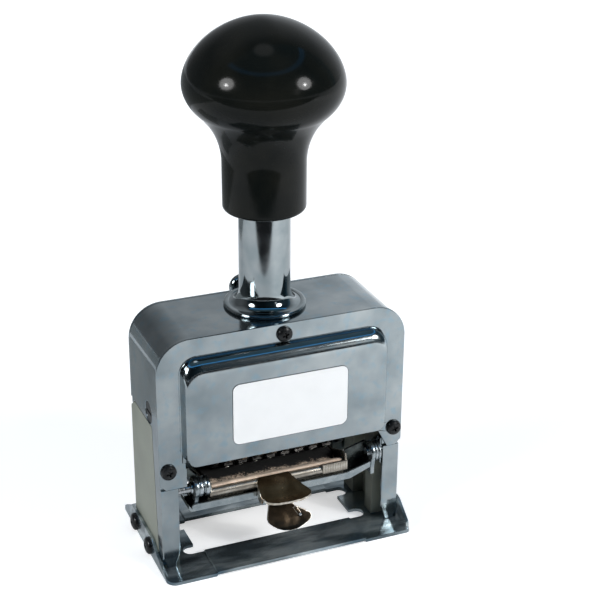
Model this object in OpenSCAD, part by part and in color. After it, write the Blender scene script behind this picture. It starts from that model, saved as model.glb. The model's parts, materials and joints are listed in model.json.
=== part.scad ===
// Self-inking hand numbering machine: a sprung plunger carries a head of engraved number wheels
// down through a window in the base, while the ink pad swings out from under them.
// X runs across the machine, +Y to its rear and +Z up the plunger; the paper lies at Z = 0.

/* [Casing] */
// Width of the casing across its side walls
casing_w = 75.2; // [70:0.2:92]
// Height of the casing's top above the paper
casing_top = 73.8; // [68:0.2:90]
// Distance from the stem axis forward to the front cover's face
front_y = 15.2; // [15.2:0.1:20]
// Clearance from the type faces back to the rear cover's face
rear_gap = 3.1; // [3.1:0.1:8.5]
// Thickness of the casing sheet
sheet = 1; // [0.8:0.1:1.1]
// Thickness of the front cover
cover_t = 1.2; // [0.8:0.1:1.4]
// How far the front cover stands past the casing's sides
cover_proud = 0.4; // [0:0.1:1]
// Radius of the casing's upper corners
corner_r = 10; // [6:0.5:14]
// Width of the casing's inturned lips
lip_w = 5.4; // [5:0.1:6]
// Height of the front cover's lower edge
cover_z = 27.4; // [26.8:0.1:30]
// Width of a leg's front face
leg_w = 5.3; // [5:0.1:6]

/* [Front panel] */
// Half width of the raised panel at its foot
panel_half = 31.3; // [27:0.1:32]
// How far the panel's centre lies right of the stem axis
panel_x = 0.2; // [0:0.1:1]
// How far the panel stands out of the cover
panel_d = 3.8; // [2.6:0.1:5]
// Height of the panel's lower edge
panel_z0 = 35.5; // [34.5:0.1:38]
// Distance from the casing's top down to the panel's foot
panel_drop = 5.6; // [5:0.1:8]
// Height of the sloping shoulder along the panel's top
shoulder_h = 4.6; // [2:0.1:6]
// Width of the blank label
label_w = 35.4; // [20:0.1:50]
// Height of the blank label
label_h = 19.2; // [12:0.1:22]

/* [Base] */
// Thickness of the base plate
base_t = 1.2; // [1:0.1:1.6]
// Depth of the base plate, front to back
base_d = 45.6; // [42:0.1:56]
// Height of the side flanges
flange_h = 6.8; // [6.4:0.1:8]
// Thickness of the side flanges
flange_t = 1; // [0.8:0.1:1.2]
// How far the base's middle is raised above its ends
joggle = 0.5; // [0.3:0.1:0.7]
// Half width of the window, without its round notches
window_half = 25.5; // [22:0.1:27]
// Front edge of the window, ahead of the stem axis
window_y0 = 10.4; // [9.8:0.1:12]
// Rear edge of the window, behind the stem axis
window_y1 = 7.6; // [7:0.1:9]
// Radius of the window's corner notches
notch_r = 2.3; // [1.6:0.1:2.6]

/* [Plunger] */
// Outer radius of the sleeve tube
sleeve_r = 7.45; // [7.2:0.05:9]
// Wall of the sleeve tube
sleeve_wall = 0.85; // [0.6:0.05:1]
// Radius of the sleeve's foot over its rolled rim
foot_r = 12; // [11.4:0.1:14]
// Height of the sleeve's flared foot
foot_h = 5.4; // [4.6:0.1:6]
// Length of sleeve that stays inside the knob at rest
engage = 15; // [10:0.5:18]
// Radius of the plunger rod
rod_r = 4; // [3.2:0.1:4.2]
// Largest radius of the knob
knob_r = 22.5; // [20:0.1:22.7]
// Height of the knob from neck to crown
knob_h = 54.5; // [52:0.5:66]
// Radius of the knob's neck
neck_r = 11.9; // [11:0.1:14]
// Radius of the return spring's wire
wire_r = 0.65; // [0.5:0.05:0.7]
// Number of coils in the return spring
coils = 12; // [8:1:14]

/* [Number wheels] */
// Number of wheels
wheel_count = 8; // [4:1:8]
// Distance from one wheel to the next
wheel_pitch = 4.5; // [3.8:0.05:4.5]
// Radius over the type faces
wheel_r = 9.5; // [8:0.1:11.4]
// Radius of the wheel axle
axle_r = 2; // [1.6:0.1:2.2]
// How far the stack's centre lies right of the stem axis
stack_x = 2; // [0:0.1:2]

/* [Inking unit] */
// Height of the ink pad's top face at rest
pad_top = 23.3; // [21:0.1:26]
// Thickness of the ink pad
pad_t = 3.3; // [2:0.1:4]
// Left end of the ink pad
pad_x0 = -21.9; // [-22:0.1:-17]
// Right end of the ink pad
pad_x1 = 20.2; // [18:0.1:22]
// Front edge of the ink pad, ahead of the stem axis
pad_y0 = 10.9; // [10:0.1:11]
// Rear edge of the ink pad, behind the stem axis
pad_y1 = 4; // [2:0.1:5]
// Distance of the inking unit's pivot ahead of the stem axis
pivot_y = 12.6; // [12.6:0.1:15]
// Height of the inking unit's pivot
pivot_z = 25.2; // [24.6:0.1:26]
// Radius of the pivot studs
stud_r = 1.4; // [1:0.1:1.4]
// Width of the finger levers at their widest
lever_w = 16.6; // [10:0.1:20]

/* [Hidden] */

$fn = 48;
eps = 0.01;             // overlap that makes two shapes one solid
run_gap = 0.05;         // radial clearance of a running fit
slide_gap = 0.3;        // clearance beside a sliding or swinging face
side_x = casing_w / 2;  // outer face of a side wall
rear_y = wheel_r + rear_gap;            // rear face of the rear cover
in_x = side_x - sheet;  // inner face of a side wall
cover_back = -front_y + cover_t;        // rear face of the front cover
leg_front = -front_y + 0.4;             // the legs stand just behind the cover's face
leg_t = 1.2;                            // thickness of a leg
leg_back = leg_front + leg_t;
rear_in = rear_y - sheet;               // inner face of the rear cover
cut_top = 44.7;                         // top of the cut-out that shows the rail

rail_in = in_x - 5.4;                   // inner face of a guide rail
rail_y0 = -10.2;                        // front face of a rail
rail_y1 = rear_in - 1.1;                // rear face of a rail
rail_top = casing_top - 13.8;
groove_y0 = -5.4;                       // the groove that guides the head
groove_y1 = 3.5;
groove_x = rail_in + 3.4;

axis_z = pad_top + slide_gap + wheel_r; // wheel axle at rest
print_gap = 0.1;                        // the pressed wheels stop this far above the paper plane
stroke = axis_z - wheel_r - print_gap;
stack_w = wheel_count * wheel_pitch;
stack_x0 = stack_x - stack_w / 2;
stack_x1 = stack_x + stack_w / 2;
pawl_t = 0.9;                           // sheet of the pawl frame
pawl_gap = 0.3;
plate_t = 1.4;                          // sheet of the head's side plates
plate_x0 = stack_x0 - 2 * pawl_gap - pawl_t;   // inner faces of the head's side plates
plate_x1 = stack_x1 + 2 * pawl_gap + pawl_t;
plate_y = 8;                            // half depth of a side plate's web
bridge_t = 4;
bridge_z = axis_z + wheel_r + 3.4;      // underside of the bridge
bridge_y = 6.5;
runner_z = stroke + base_t + 1.3;       // lower end of the runners
ratchet_r = wheel_r - 2.9;
ratchet_w = 1.15;
type_w = wheel_pitch - ratchet_w - 0.2; // width of a wheel's type ring
finger_w = 0.8;
finger_t = 0.5;

neck_z = casing_top + foot_h + stroke + 0.4;   // lower end of the knob at rest
sleeve_top = neck_z + engage;
knob_bore = sleeve_r + slide_gap;
bore_z = sleeve_top + stroke + 0.4;     // blind end of the knob's bore
bush_h = 3;
rod_top = bore_z + 9;
crown_h = 18.1;                         // height of the knob's crown above its widest ring
widest_z = neck_z + knob_h - crown_h;

arm_t = 1.2;                            // sheet of the yoke's arms
left_arm_x = -(rail_in - 4.9);          // inner face of the left arm
right_arm_x = rail_in - 2.8;            // inner face of the right arm
ear_x = rail_in + 0.7;                  // inner face of the ears that hold the pivot studs
ear_t = 1;
boss_r = 3.4;                           // largest radius of the collars at the pivot
holder_t = 0.6;
pad_bottom = pad_top - pad_t;
yoke_top = pad_bottom - holder_t;
yoke_t = 1;
tray_y0 = -14.8;                        // front face of the yoke's tray
tray_y1 = -7;                           // rear edge of the tray and of its arms
tray_lip = 0.6;                         // sheet of the tray's front flange
tray_lip_h = 1.3;                       // how far the flange stands above the tray
hinge_y = -14.2;                        // hinge of the lower finger lever
hinge_z = yoke_top - yoke_t - 1.5;
lever_x = -1.3;                         // middle of the finger levers

latch_z = casing_top - 2.4;
latch_r = 1.3;
latch_bush_r = 2.15;                    // the bush's shank through the rear wall
latch_head_r = 4;
latch_travel = 3;
selector_x = 15;
selector_z = casing_top - 17;
cover_screw_r = 1.25;
base_screw_z = 3.2;
base_screw_y = [-4.4, 12 - 2.4];
side_screw_y = -5.1;
side_screw_r = 3.15;
side_screw_z = cut_top + side_screw_r + 0.4;
front_screws_at = [[0, casing_top - 3.1], [-(side_x - 2.3), 33.5], [side_x - 2.3, 33.5]];
rear_screws_at = [for (s = [-1, 1], z = [cut_top + 4, casing_top - 11]) [s * (side_x - 3), z]];

// ---- shared shapes ----

// Draws the children, a shape in X and Z, as a slab between two depths
module slab(y0, y1) {
    translate([0, y1, 0]) rotate([90, 0, 0]) linear_extrude(y1 - y0) children();
}

// Draws the children, a shape in Y and Z, as a plate between two places across the machine
module plate(x0, x1) {
    translate([x0, 0, 0]) rotate([90, 0, 90]) linear_extrude(x1 - x0) children();
}

// A rod across the machine
module xrod(r, x0, x1) {
    translate([x0, 0, 0]) rotate([0, 90, 0]) cylinder(r = r, h = x1 - x0);
}

// A rod from front to back
module yrod(r, y0, y1) {
    translate([0, y0, 0]) rotate([-90, 0, 0]) cylinder(r = r, h = y1 - y0);
}

// A flat shape with rounded upper corners, like a doorway
module arch(half_w, z0, z1, r) {
    translate([-half_w, z0]) square([2 * half_w, z1 - r - z0]);
    translate([-half_w + r, z0]) square([2 * (half_w - r), z1 - z0]);
    for (s = [-1, 1]) translate([s * (half_w - r), z1 - r]) circle(r);
}

// A rectangle with four round corners
module round_rect(w, h, r) {
    square([w - 2 * r, h], center = true);
    square([w, h - 2 * r], center = true);
    for (i = [-1, 1], j = [-1, 1]) translate([i * (w / 2 - r), j * (h / 2 - r)]) circle(r);
}

// The left-hand children and their mirror image
module both_sides() {
    children();
    mirror([1, 0, 0]) children();
}

// ---- base ----

// A side flange, with its front end given as points in Y and Z
module base_flange(front_end) {
    back = base_d / 2;
    plate(-side_x - run_gap - flange_t, -side_x - run_gap)
        polygon(concat(front_end, [[back - 9.4, flange_h], [back - 0.8, base_t + 0.7], [back - 0.8, 0]]));
}

module base_window() {
    translate([-window_half, -window_y0]) square([2 * window_half, window_y0 + window_y1]);
    for (s = [-1, 1], y = [-window_y0 + notch_r, window_y1 - notch_r]) {
        translate([s * (window_half + 1.6), y]) circle(notch_r);
        translate([s * (window_half + 0.7), y]) square([2, 2 * notch_r], center = true);
    }
}

module base_plate() {
    wide = 2 * (side_x + run_gap + flange_t);
    raised = 2 * (window_half - 1.8);
    front = -base_d / 2;
    color("silver") difference() {
        union() {
            linear_extrude(base_t) difference() {
                union() {
                    round_rect(wide, base_d, 3);
                    translate([wide / 2 - 2, front + 2]) round_rect(4, 4, 1.2);
                }
                square([raised, base_d + 2], center = true);
            }
            translate([0, 0, joggle]) linear_extrude(base_t)
                square([raised + 2 * eps, base_d], center = true);
            base_flange([[front + 3.3, 0], [front + 3.3, base_t], [front + 11.7, 4],
                         [front + 16.4, flange_h]]);
            mirror([1, 0, 0])
                base_flange([[front + 1.2, 0], [front + 1.2, 3.2], [front + 7.4, flange_h + 0.9],
                             [front + 9, flange_h + 1.4], [front + 11, flange_h + 1.2],
                             [front + 13, flange_h]]);
        }
        translate([0, 0, -1]) linear_extrude(base_t + 3) base_window();
        for (y = base_screw_y) translate([0, y, base_screw_z])
            xrod(cover_screw_r + run_gap, -wide, wide);
    }
}

module base_screws() {
    head_x = side_x + run_gap + flange_t;
    color("black") both_sides() for (y = base_screw_y) translate([-head_x, y, base_screw_z]) {
        xrod(cover_screw_r, 0, head_x - groove_x - 0.1);
        rotate([0, -90, 0]) rotate_extrude()
            polygon([[0, 0], [2.65, 0], [2.65, 0.5], for (a = [20:20:80]) [2.65 * cos(a), 0.5 + 1.1 * sin(a)],
                     [0, 1.6]]);
    }
}

// ---- casing and covers ----

// The cut-out in a side wall; the front edge leans forward towards the base
module side_cut(gap) {
    polygon([[-10.6 + gap, 0], [-8 + gap, cut_top - gap], [rear_y - 3.5, cut_top - gap],
             [rear_y + 1, cut_top - 3.2 - gap], [rear_y + 1, 0]]);
}

module lip(y0, z0) {
    slab(y0, y0 + sheet) difference() {
        arch(side_x - eps, z0, casing_top - eps, corner_r);
        arch(side_x - lip_w, z0 - 1, casing_top - lip_w, corner_r - lip_w + 1);
    }
}

module leg() {
    inner = side_x - leg_w;
    slab(leg_front, leg_back)
        polygon([[-side_x, cover_z - 0.1], [-inner, cover_z - 0.1], [-inner, 6], [-inner - 1.4, base_t],
                 [-inner - 4, base_t], [-side_x, 5]]);
    plate(-side_x, -in_x) polygon([[leg_front, cover_z - 0.1], [leg_front, 5], [leg_front + 1.4, base_t],
                                   [-10.9, base_t], [-10.9 + 1.7, cover_z - 0.1]]);
    plate(-ear_x - ear_t, -ear_x) polygon([[leg_back - eps, 21], [leg_back - eps, 29.6], [-11.4, 29.6],
                                           [-10.5, 28.6], [-10.5, 22], [-11.4, 21]]);
}

module casing() {
    color("silver") difference() {
        union() {
            slab(cover_back, rear_in) difference() {
                arch(side_x, base_t, casing_top, corner_r);
                arch(in_x, 0, casing_top - sheet, corner_r - sheet);
            }
            lip(cover_back, cover_z);
            lip(rear_in - sheet, cut_top + 1);
            both_sides() leg();
        }
        both_sides() plate(-side_x - 1, -in_x + 2) side_cut(0);
        both_sides() plate(-side_x - 1, -in_x + eps)
            polygon([[cover_back - 1, 0], [cover_back - 1, base_t + 0.6], [-9, base_t + 0.6], [-9, 0]]);
        translate([0, 0, casing_top - 2]) cylinder(r = rod_r + 0.6, h = 4);
        translate([0, -pivot_y, pivot_z]) xrod(stud_r, -ear_x - ear_t - 1, ear_x + ear_t + 1);
        for (p = front_screws_at) translate([p[0], 0, p[1]]) yrod(cover_screw_r + run_gap, -front_y, -10);
        for (p = rear_screws_at) translate([p[0], 0, p[1]]) yrod(cover_screw_r + run_gap, 6, rear_y);
        translate([0, side_screw_y, side_screw_z]) xrod(side_screw_r + run_gap, -side_x - 1, side_x + 1);
        translate([0, 0, latch_z]) yrod(latch_bush_r + run_gap, 8, rear_y);
    }
}

// One cross-section of the raised panel, at its own depth
module panel_slice(depth, inset) {
    half = panel_half - 1.4 * pow(depth / panel_d, 2) - inset;
    top = casing_top - panel_drop - shoulder_h * pow(depth / panel_d, 1.6) - inset;
    translate([0, -front_y - depth + (inset > 0 ? inset : 0), 0])
        slab(0, eps) arch(half, panel_z0 - 1, top, 5);
}

// The panel's outer form, or its hollow when inset by the sheet
module panel_form(inset) {
    translate([panel_x, 0, 0]) hull() {
        for (depth = [0, 0.35, 0.6, 0.85, 1] * panel_d) panel_slice(depth, inset, $fn = 32);
    }
}

// The cover's outline: two side columns with the inking unit's opening between them
module cover_outline() {
    half = side_x + cover_proud;
    difference() {
        arch(half, cover_z, casing_top + cover_proud / 2, corner_r);
        polygon([[-rail_in + 1.4, 0], [-rail_in + 1.4, panel_z0 + 1], [rail_in - 1, panel_z0 + 1],
                 [rail_in - 1, 33.4], [side_x - 4.2, cover_z], [side_x - 4.2, 0]]);
        for (s = [-1, 1]) translate([s * half, cover_z]) circle(1.8, $fn = 4);
    }
}

module front_cover() {
    low_r = 2.2;                                // the raised panel's lower corners
    color("silver") difference() {
        union() {
            slab(-front_y, cover_back) cover_outline();
            panel_form(0);
        }
        panel_form(sheet);
        translate([panel_x, 0, 0]) slab(-front_y - 0.2, cover_back + 1)
            arch(panel_half - sheet, panel_z0 - 2, casing_top - panel_drop - sheet, 5);
        translate([-panel_half - 1, -front_y - panel_d - 1, panel_z0 - 10])
            cube([2 * panel_half + 2, panel_d + 1, 10]);
        for (s = [-1, 1]) translate([panel_x + s * (panel_half - 1.4 - low_r), 0, panel_z0 + low_r])
            slab(-front_y - panel_d - 1, -front_y - 0.4) difference() {
                translate([s > 0 ? 0 : -2 * low_r, -2 * low_r]) square(2 * low_r);
                circle(low_r);
            }
        for (p = front_screws_at) translate([p[0], 0, p[1]])
            yrod(cover_screw_r + run_gap, -front_y - 5, cover_back + 1);
    }
}

module label() {
    color("white") translate([panel_x + 0.4, 0, 49.9])
        slab(-front_y - panel_d - 0.15, -front_y - panel_d) round_rect(label_w, label_h, 2.2);
}

module rear_cover() {
    rear_low = 12;                              // lower edge
    color("silver") difference() {
        slab(rear_in, rear_y) {
            arch(side_x, cut_top + 0.2, casing_top, corner_r);
            translate([-in_x + 0.2, rear_low]) square([2 * (in_x - 0.2), cut_top + 1 - rear_low]);
        }
        for (p = rear_screws_at) translate([p[0], 0, p[1]]) yrod(cover_screw_r + run_gap, 6, rear_y + 1);
        translate([0, 0, latch_z]) yrod(latch_bush_r + run_gap, rear_in - 1, rear_y + 1);
        translate([selector_x, 0, selector_z]) yrod(1.5, rear_in - 1, rear_y + 1);
    }
}

// A pan-head screw that points along +Y, with its head's seat at y = 0
module pan_screw(length) {
    yrod(cover_screw_r, 0, length);
    rotate([90, 0, 0]) rotate_extrude()
        polygon([[0, 0], [2.35, 0], [2.35, 0.5], [2.1, 1], [1.5, 1.3], [0, 1.4]]);
}

module front_screws() {
    color("black") for (p = front_screws_at)
        translate([p[0], -front_y, p[1]]) pan_screw(cover_t + sheet + 0.8);
}

module rear_screws() {
    color("black") for (p = rear_screws_at)
        translate([p[0], rear_y, p[1]]) rotate([0, 0, 180]) pan_screw(2 * sheet);
}

// ---- guide rails ----

// The left rail: a moulded channel whose outer face fills the casing's cut-out
module rail() {
    difference() {
        union() {
            plate(-in_x, -rail_in) polygon([[rail_y0, base_t], [rail_y0, rail_top], [rail_y1, rail_top],
                                            [rail_y1, base_t]]);
            intersection() {
                plate(-side_x, -in_x + eps) side_cut(0.1);
                translate([-side_x - 1, -20, base_t]) cube([4, 20 + rear_y, 60]);
            }
        }
        translate([-groove_x, groove_y0, 0]) cube([groove_x, groove_y1 - groove_y0, casing_top]);
        translate([0, -pivot_y, pivot_z]) xrod(boss_r + slide_gap, -rail_in - 1.1, 0);
        for (y = base_screw_y) translate([0, y, base_screw_z])
            xrod(cover_screw_r + run_gap, -side_x - 1, -groove_x - eps);
        translate([0, side_screw_y, side_screw_z]) xrod(1.55, -side_x, -side_x + 2.7);
    }
}

module rail_left() {
    color("ivory") rail();
}

module rail_right() {
    color("ivory") mirror([1, 0, 0]) rail();
}

module side_screws() {
    color("dimgray") both_sides() translate([-side_x, side_screw_y, side_screw_z]) difference() {
        union() {
            xrod(side_screw_r, 0.2, sheet);
            xrod(1.5, 0.5, 2.6);
        }
        translate([-0.1, -2.2, -0.35]) cube([0.8, 4.4, 0.7]);
    }
}

// ---- sleeve, plunger rod, spring and knob ----

module sleeve() {
    a = 3.6;                                    // radius of the flare's hollow
    bead = 0.8;                                 // radius of the rolled rim
    inner = sleeve_r - sleeve_wall;
    color("silver") translate([0, 0, casing_top]) rotate_extrude() {
        polygon([[inner, 0], [foot_r - bead, 0], [foot_r - bead, foot_h - a],
                 for (t = [270:-15:180]) [sleeve_r + a + a * cos(t), foot_h + a * sin(t)],
                 [sleeve_r, sleeve_top - casing_top - 0.4], [sleeve_r - 0.4, sleeve_top - casing_top],
                 [inner, sleeve_top - casing_top]]);
        translate([foot_r - bead, bead]) circle(bead, $fn = 24);
    }
}

module rod_bush() {
    color("goldenrod") translate([0, 0, casing_top]) difference() {
        cylinder(r = sleeve_r - sleeve_wall - run_gap, h = bush_h);
        translate([0, 0, -1]) cylinder(r = rod_r + run_gap, h = bush_h + 2);
    }
}

// Points of a coil spring: one ring of wire_sides points for each step along the helix
wire_sides = 6;
steps_per_coil = 14;
coil_r = (rod_r + sleeve_r - sleeve_wall) / 2;
function coil_ring(i, z0, z1) =
    let (n = coils * steps_per_coil, a = 360 * i / steps_per_coil,
         z = z0 + wire_r + (z1 - z0 - 2 * wire_r) * i / n)
    [for (k = [0:wire_sides - 1]) let (b = 360 * k / wire_sides, r = coil_r + wire_r * cos(b))
        [r * cos(a), r * sin(a), z + wire_r * sin(b)]];

module return_spring() {
    n = coils * steps_per_coil;
    z0 = casing_top + bush_h + 0.1;
    z1 = bore_z - 0.1;
    color("gray") polyhedron(
        points = [for (i = [0:n]) each coil_ring(i, z0, z1)],
        faces = [
            [for (k = [wire_sides - 1:-1:0]) k],
            for (i = [0:n - 1], k = [0:wire_sides - 1])
                let (m = (k + 1) % wire_sides, p = i * wire_sides, q = p + wire_sides)
                [p + k, p + m, q + m, q + k],
            [for (k = [0:wire_sides - 1]) n * wire_sides + k]
        ]);
}

module plunger_rod() {
    color("lightgray") {
        translate([0, 0, bridge_z + bridge_t]) cylinder(r = rod_r, h = bore_z - bridge_z - bridge_t);
        translate([0, 0, bore_z - eps]) cylinder(r = rod_r - 0.6, h = rod_top - bore_z);
        translate([0, 0, bridge_z - 2.6]) cylinder(r = rod_r - 1.2, h = bridge_t + 2.6 + eps);
    }
}

// Outline of the knob: neck, hollow throat, rounded underside and a full crown
module knob_profile() {
    lip_r = 1.5;                                // rounding of the neck's lower edge
    throat_r = 18.7;                            // radius of the throat's hollow
    throat_z = neck_z + 13.9;                   // where the throat starts to open
    under_h = 14.4;                             // half height of the underside's ellipse
    under_a = 39;                               // how far the underside runs round it, degrees
    full = 1.84;                                // fullness of the crown: 2 is an ellipse
    under_r = knob_r * cos(under_a);
    under_z = widest_z - under_h * sin(under_a);
    polygon([
        [knob_bore, neck_z],
        for (t = [270:22.5:360]) [neck_r - lip_r + lip_r * cos(t), neck_z + lip_r + lip_r * sin(t)],
        for (t = [0:9:36]) [neck_r + throat_r * (1 - cos(t)), throat_z + throat_r * sin(t)],
        [under_r, under_z],
        for (t = [under_a - 6.5:-6.5:6.5]) [knob_r * cos(t), widest_z - under_h * sin(t)],
        for (t = [0:6:84]) [knob_r * pow(cos(t), 2 / full), widest_z + crown_h * pow(sin(t), 2 / full)],
        [0, widest_z + crown_h],
        [0, rod_top + 0.5],
        [rod_r - 0.55, rod_top + 0.5],
        [rod_r - 0.55, bore_z],
        [knob_bore, bore_z]
    ]);
}

module knob() {
    color("black") rotate_extrude($fn = 96) knob_profile();
}

// ---- head ----

module head_bridge() {
    end_x = groove_x - slide_gap;
    mid = (groove_y0 + groove_y1) / 2;
    half = (groove_y1 - groove_y0) / 2 - slide_gap;
    color("silver") difference() {
        union() {
            translate([-rail_in + 0.6, -bridge_y, bridge_z])
                cube([2 * (rail_in - 0.6), 2 * bridge_y, bridge_t]);
            translate([-end_x, mid - half, bridge_z]) cube([2 * end_x, 2 * half, bridge_t]);
        }
        translate([0, 0, bridge_z - 1]) cylinder(r = rod_r - 1.15, h = bridge_t + 2);
        for (x = [plate_x0 - plate_t / 2, plate_x1 + plate_t / 2], y = [-4, 4])
            translate([x, y, bridge_z - 1]) cylinder(r = 1.05, h = bridge_t + 2);
    }
}

module bridge_nut() {
    color("goldenrod") translate([0, 0, bridge_z - 2.5]) difference() {
        cylinder(r = 4.4, h = 2.5, $fn = 6);
        translate([0, 0, -1]) cylinder(r = rod_r - 1.15, h = 5);
    }
}

module runners() {
    mid = (groove_y0 + groove_y1) / 2;
    half = (groove_y1 - groove_y0) / 2 - slide_gap;
    color("silver") both_sides() plate(-groove_x + slide_gap, -rail_in + 0.9)
        polygon([[mid - half, runner_z + 1.5], [mid - half, bridge_z], [mid + half, bridge_z],
                 [mid + half, runner_z + 1.5], [mid + half - 1.5, runner_z], [mid - half + 1.5, runner_z]]);
}

module head_plate(x0) {
    difference() {
        union() {
            plate(x0, x0 + plate_t)
                polygon([[-plate_y, axis_z + 4], [-plate_y, bridge_z], [plate_y, bridge_z],
                         [plate_y, axis_z + 4], [6.5, axis_z], [-6.5, axis_z]]);
            translate([0, 0, axis_z]) xrod(wheel_r - 0.6, x0, x0 + plate_t);
        }
        translate([0, 0, axis_z]) xrod(axle_r + run_gap, x0 - 1, x0 + plate_t + 1);
    }
}

module head_plate_left() {
    color("gainsboro") head_plate(plate_x0 - plate_t);
}

module head_plate_right() {
    color("gainsboro") head_plate(plate_x1);
}

module plate_screws() {
    color("dimgray") for (x = [plate_x0 - plate_t / 2, plate_x1 + plate_t / 2], y = [-4, 4])
        translate([x, y, bridge_z]) {
            cylinder(r = 1, h = bridge_t);
            translate([0, 0, bridge_t]) cylinder(r = 1.9, h = 1.2);
        }
}

module wheel_axle() {
    color("lightgray") translate([0, 0, axis_z]) xrod(axle_r, plate_x0 - plate_t - 2, plate_x1 + plate_t + 2);
}

module axle_nuts() {
    color("dimgray") for (x = [plate_x0 - plate_t - 1.6, plate_x1 + plate_t])
        translate([x, 0, axis_z]) difference() {
            rotate([0, 90, 0]) cylinder(r = 3.4, h = 1.6, $fn = 6);
            xrod(axle_r + run_gap, -1, 3);
        }
}

// Where wheel i's ratchet starts, counted from the left
function ratchet_x(i) = stack_x0 + i * wheel_pitch + 0.1 + type_w;

// A spring bar with one finger at each wheel's ratchet
module detent_comb() {
    lean = 33.7;                                // the fingers lie this far ahead of upright, degrees
    bar = 2;
    color("steelblue") translate([0, 0, axis_z]) {
        rotate([lean, 0, 0]) {
            translate([plate_x0, -bar / 2, wheel_r + 1.6]) cube([plate_x1 - plate_x0, bar, bar]);
            for (i = [0:wheel_count - 1])
                translate([ratchet_x(i) + (ratchet_w - finger_w) / 2, -finger_t / 2, ratchet_r + slide_gap])
                    cube([finger_w, finger_t, wheel_r + 2 - ratchet_r - slide_gap]);
        }
    }
}

// One number wheel: a drum with ten raised type faces and a ten-tooth ratchet at its side
module number_wheel(i) {
    digits = 10;
    step = 360 / digits;
    core_r = wheel_r - 1.1;
    face = 4;
    x0 = stack_x0 + (i - 1) * wheel_pitch + 0.1;
    color("slategray") translate([x0, 0, axis_z]) difference() {
        union() {
            xrod(core_r, 0, type_w);
            intersection() {
                xrod(wheel_r, 0.3, type_w - 0.3);
                for (k = [0:digits - 1]) rotate([step * k, 0, 0])
                    translate([0.3, -face / 2, -wheel_r - 1]) cube([type_w - 0.6, face, 3]);
            }
            plate(type_w - eps, type_w + ratchet_w)
                polygon([for (k = [0:digits - 1], t = [0, 1])
                    let (a = step * k + (t == 0 ? 0 : 5), r = t == 0 ? ratchet_r : ratchet_r - 1.2)
                    [r * cos(a), r * sin(a)]]);
        }
        xrod(axle_r + run_gap, -1, wheel_pitch + 1);
    }
}

// ---- pawl ----

// A ring sector round the wheel axle, at the rear of the wheels
module rear_sector(r0, r1) {
    a0 = -24;
    a1 = 10;
    difference() {
        intersection() {
            circle(r1);
            polygon([[0, 0], [2 * r1 * cos(a0), 2 * r1 * sin(a0)], [2 * r1 * cos(a1), 2 * r1 * sin(a1)]]);
        }
        circle(r0);
    }
}

module pawl_frame() {
    bar_r = wheel_r + 0.9;
    color("dimgray") translate([0, 0, axis_z]) difference() {
        union() {
            plate(stack_x0 - pawl_gap - pawl_t, stack_x1 + pawl_gap + pawl_t)
                rear_sector(bar_r, bar_r + 0.55);
            for (x = [stack_x0 - pawl_gap - pawl_t, stack_x1 + pawl_gap]) {
                plate(x, x + pawl_t) rear_sector(0.5, bar_r + 0.1);
                xrod(3.6, x, x + pawl_t);
            }
        }
        xrod(axle_r + run_gap, stack_x0 - 5, stack_x1 + 5);
    }
}

module pawl_comb() {
    bar_r = wheel_r + 0.9;
    aim = -7;                                   // direction of the fingers behind the axle, degrees
    color("steelblue") translate([0, 0, axis_z]) {
        plate(stack_x0 - pawl_gap + 0.1, stack_x1 + pawl_gap - 0.1) rear_sector(bar_r - 0.45, bar_r);
        for (i = [0:wheel_count - 1]) rotate([aim, 0, 0])
            translate([ratchet_x(i) + (ratchet_w - finger_w) / 2, ratchet_r + slide_gap, -finger_t / 2])
                cube([finger_w, bar_r - 0.2 - ratchet_r - slide_gap, finger_t]);
    }
}

// ---- inking unit ----

module pivot_studs() {
    inner_l = pad_x0 - 1;
    inner_r = right_arm_x - 0.8;
    color("lightgray") translate([0, -pivot_y, pivot_z]) {
        xrod(stud_r - 0.01, -ear_x - ear_t - 0.3, inner_l);
        xrod(stud_r - 0.01, inner_r, ear_x + ear_t + 0.3);
    }
}

// The hub and web of one yoke arm, in Y and Z; the web ends at the height low, behind the depth front
module arm_shape(front, low) {
    translate([-pivot_y, pivot_z]) circle(3.2);
    polygon([[-pivot_y - 3.1, pivot_z], [front, yoke_top + tray_lip_h], [front, low], [tray_y1, low],
             [tray_y1, yoke_top + 1.2], [-pivot_y + 3.1, pivot_z - 1]]);
}

module yoke_arm(x0, front, low) {
    difference() {
        plate(x0, x0 + arm_t) arm_shape(front, low);
        translate([0, -pivot_y, pivot_z]) xrod(stud_r + run_gap, x0 - 1, x0 + arm_t + 1);
    }
}

// The left arm stands on the tray, and has a wing that rises behind the cover's column
module yoke_arm_left() {
    outer = left_arm_x - arm_t;
    top = pivot_z + 7;
    color("silver") {
        yoke_arm(outer, tray_y0 + tray_lip, yoke_top);
        slab(-pivot_y + 0.2, -pivot_y + 1)
            polygon([[outer - 1.9, pivot_z + 3.7], [outer - 1.9, top], [outer - 1.1, top - 0.3],
                     [outer + 0.6, top - 2], [outer + 1.6, top - 3.3], [outer + 1.3, pivot_z + 3.3],
                     [outer + 1.1, pivot_z + 2.4], [outer + 0.1, pivot_z + 2.4],
                     [outer + 0.1, pivot_z + 3.4]]);
    }
}

module yoke_arm_right() {
    color("silver") yoke_arm(right_arm_x, tray_y0, yoke_top - yoke_t);
}

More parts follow.
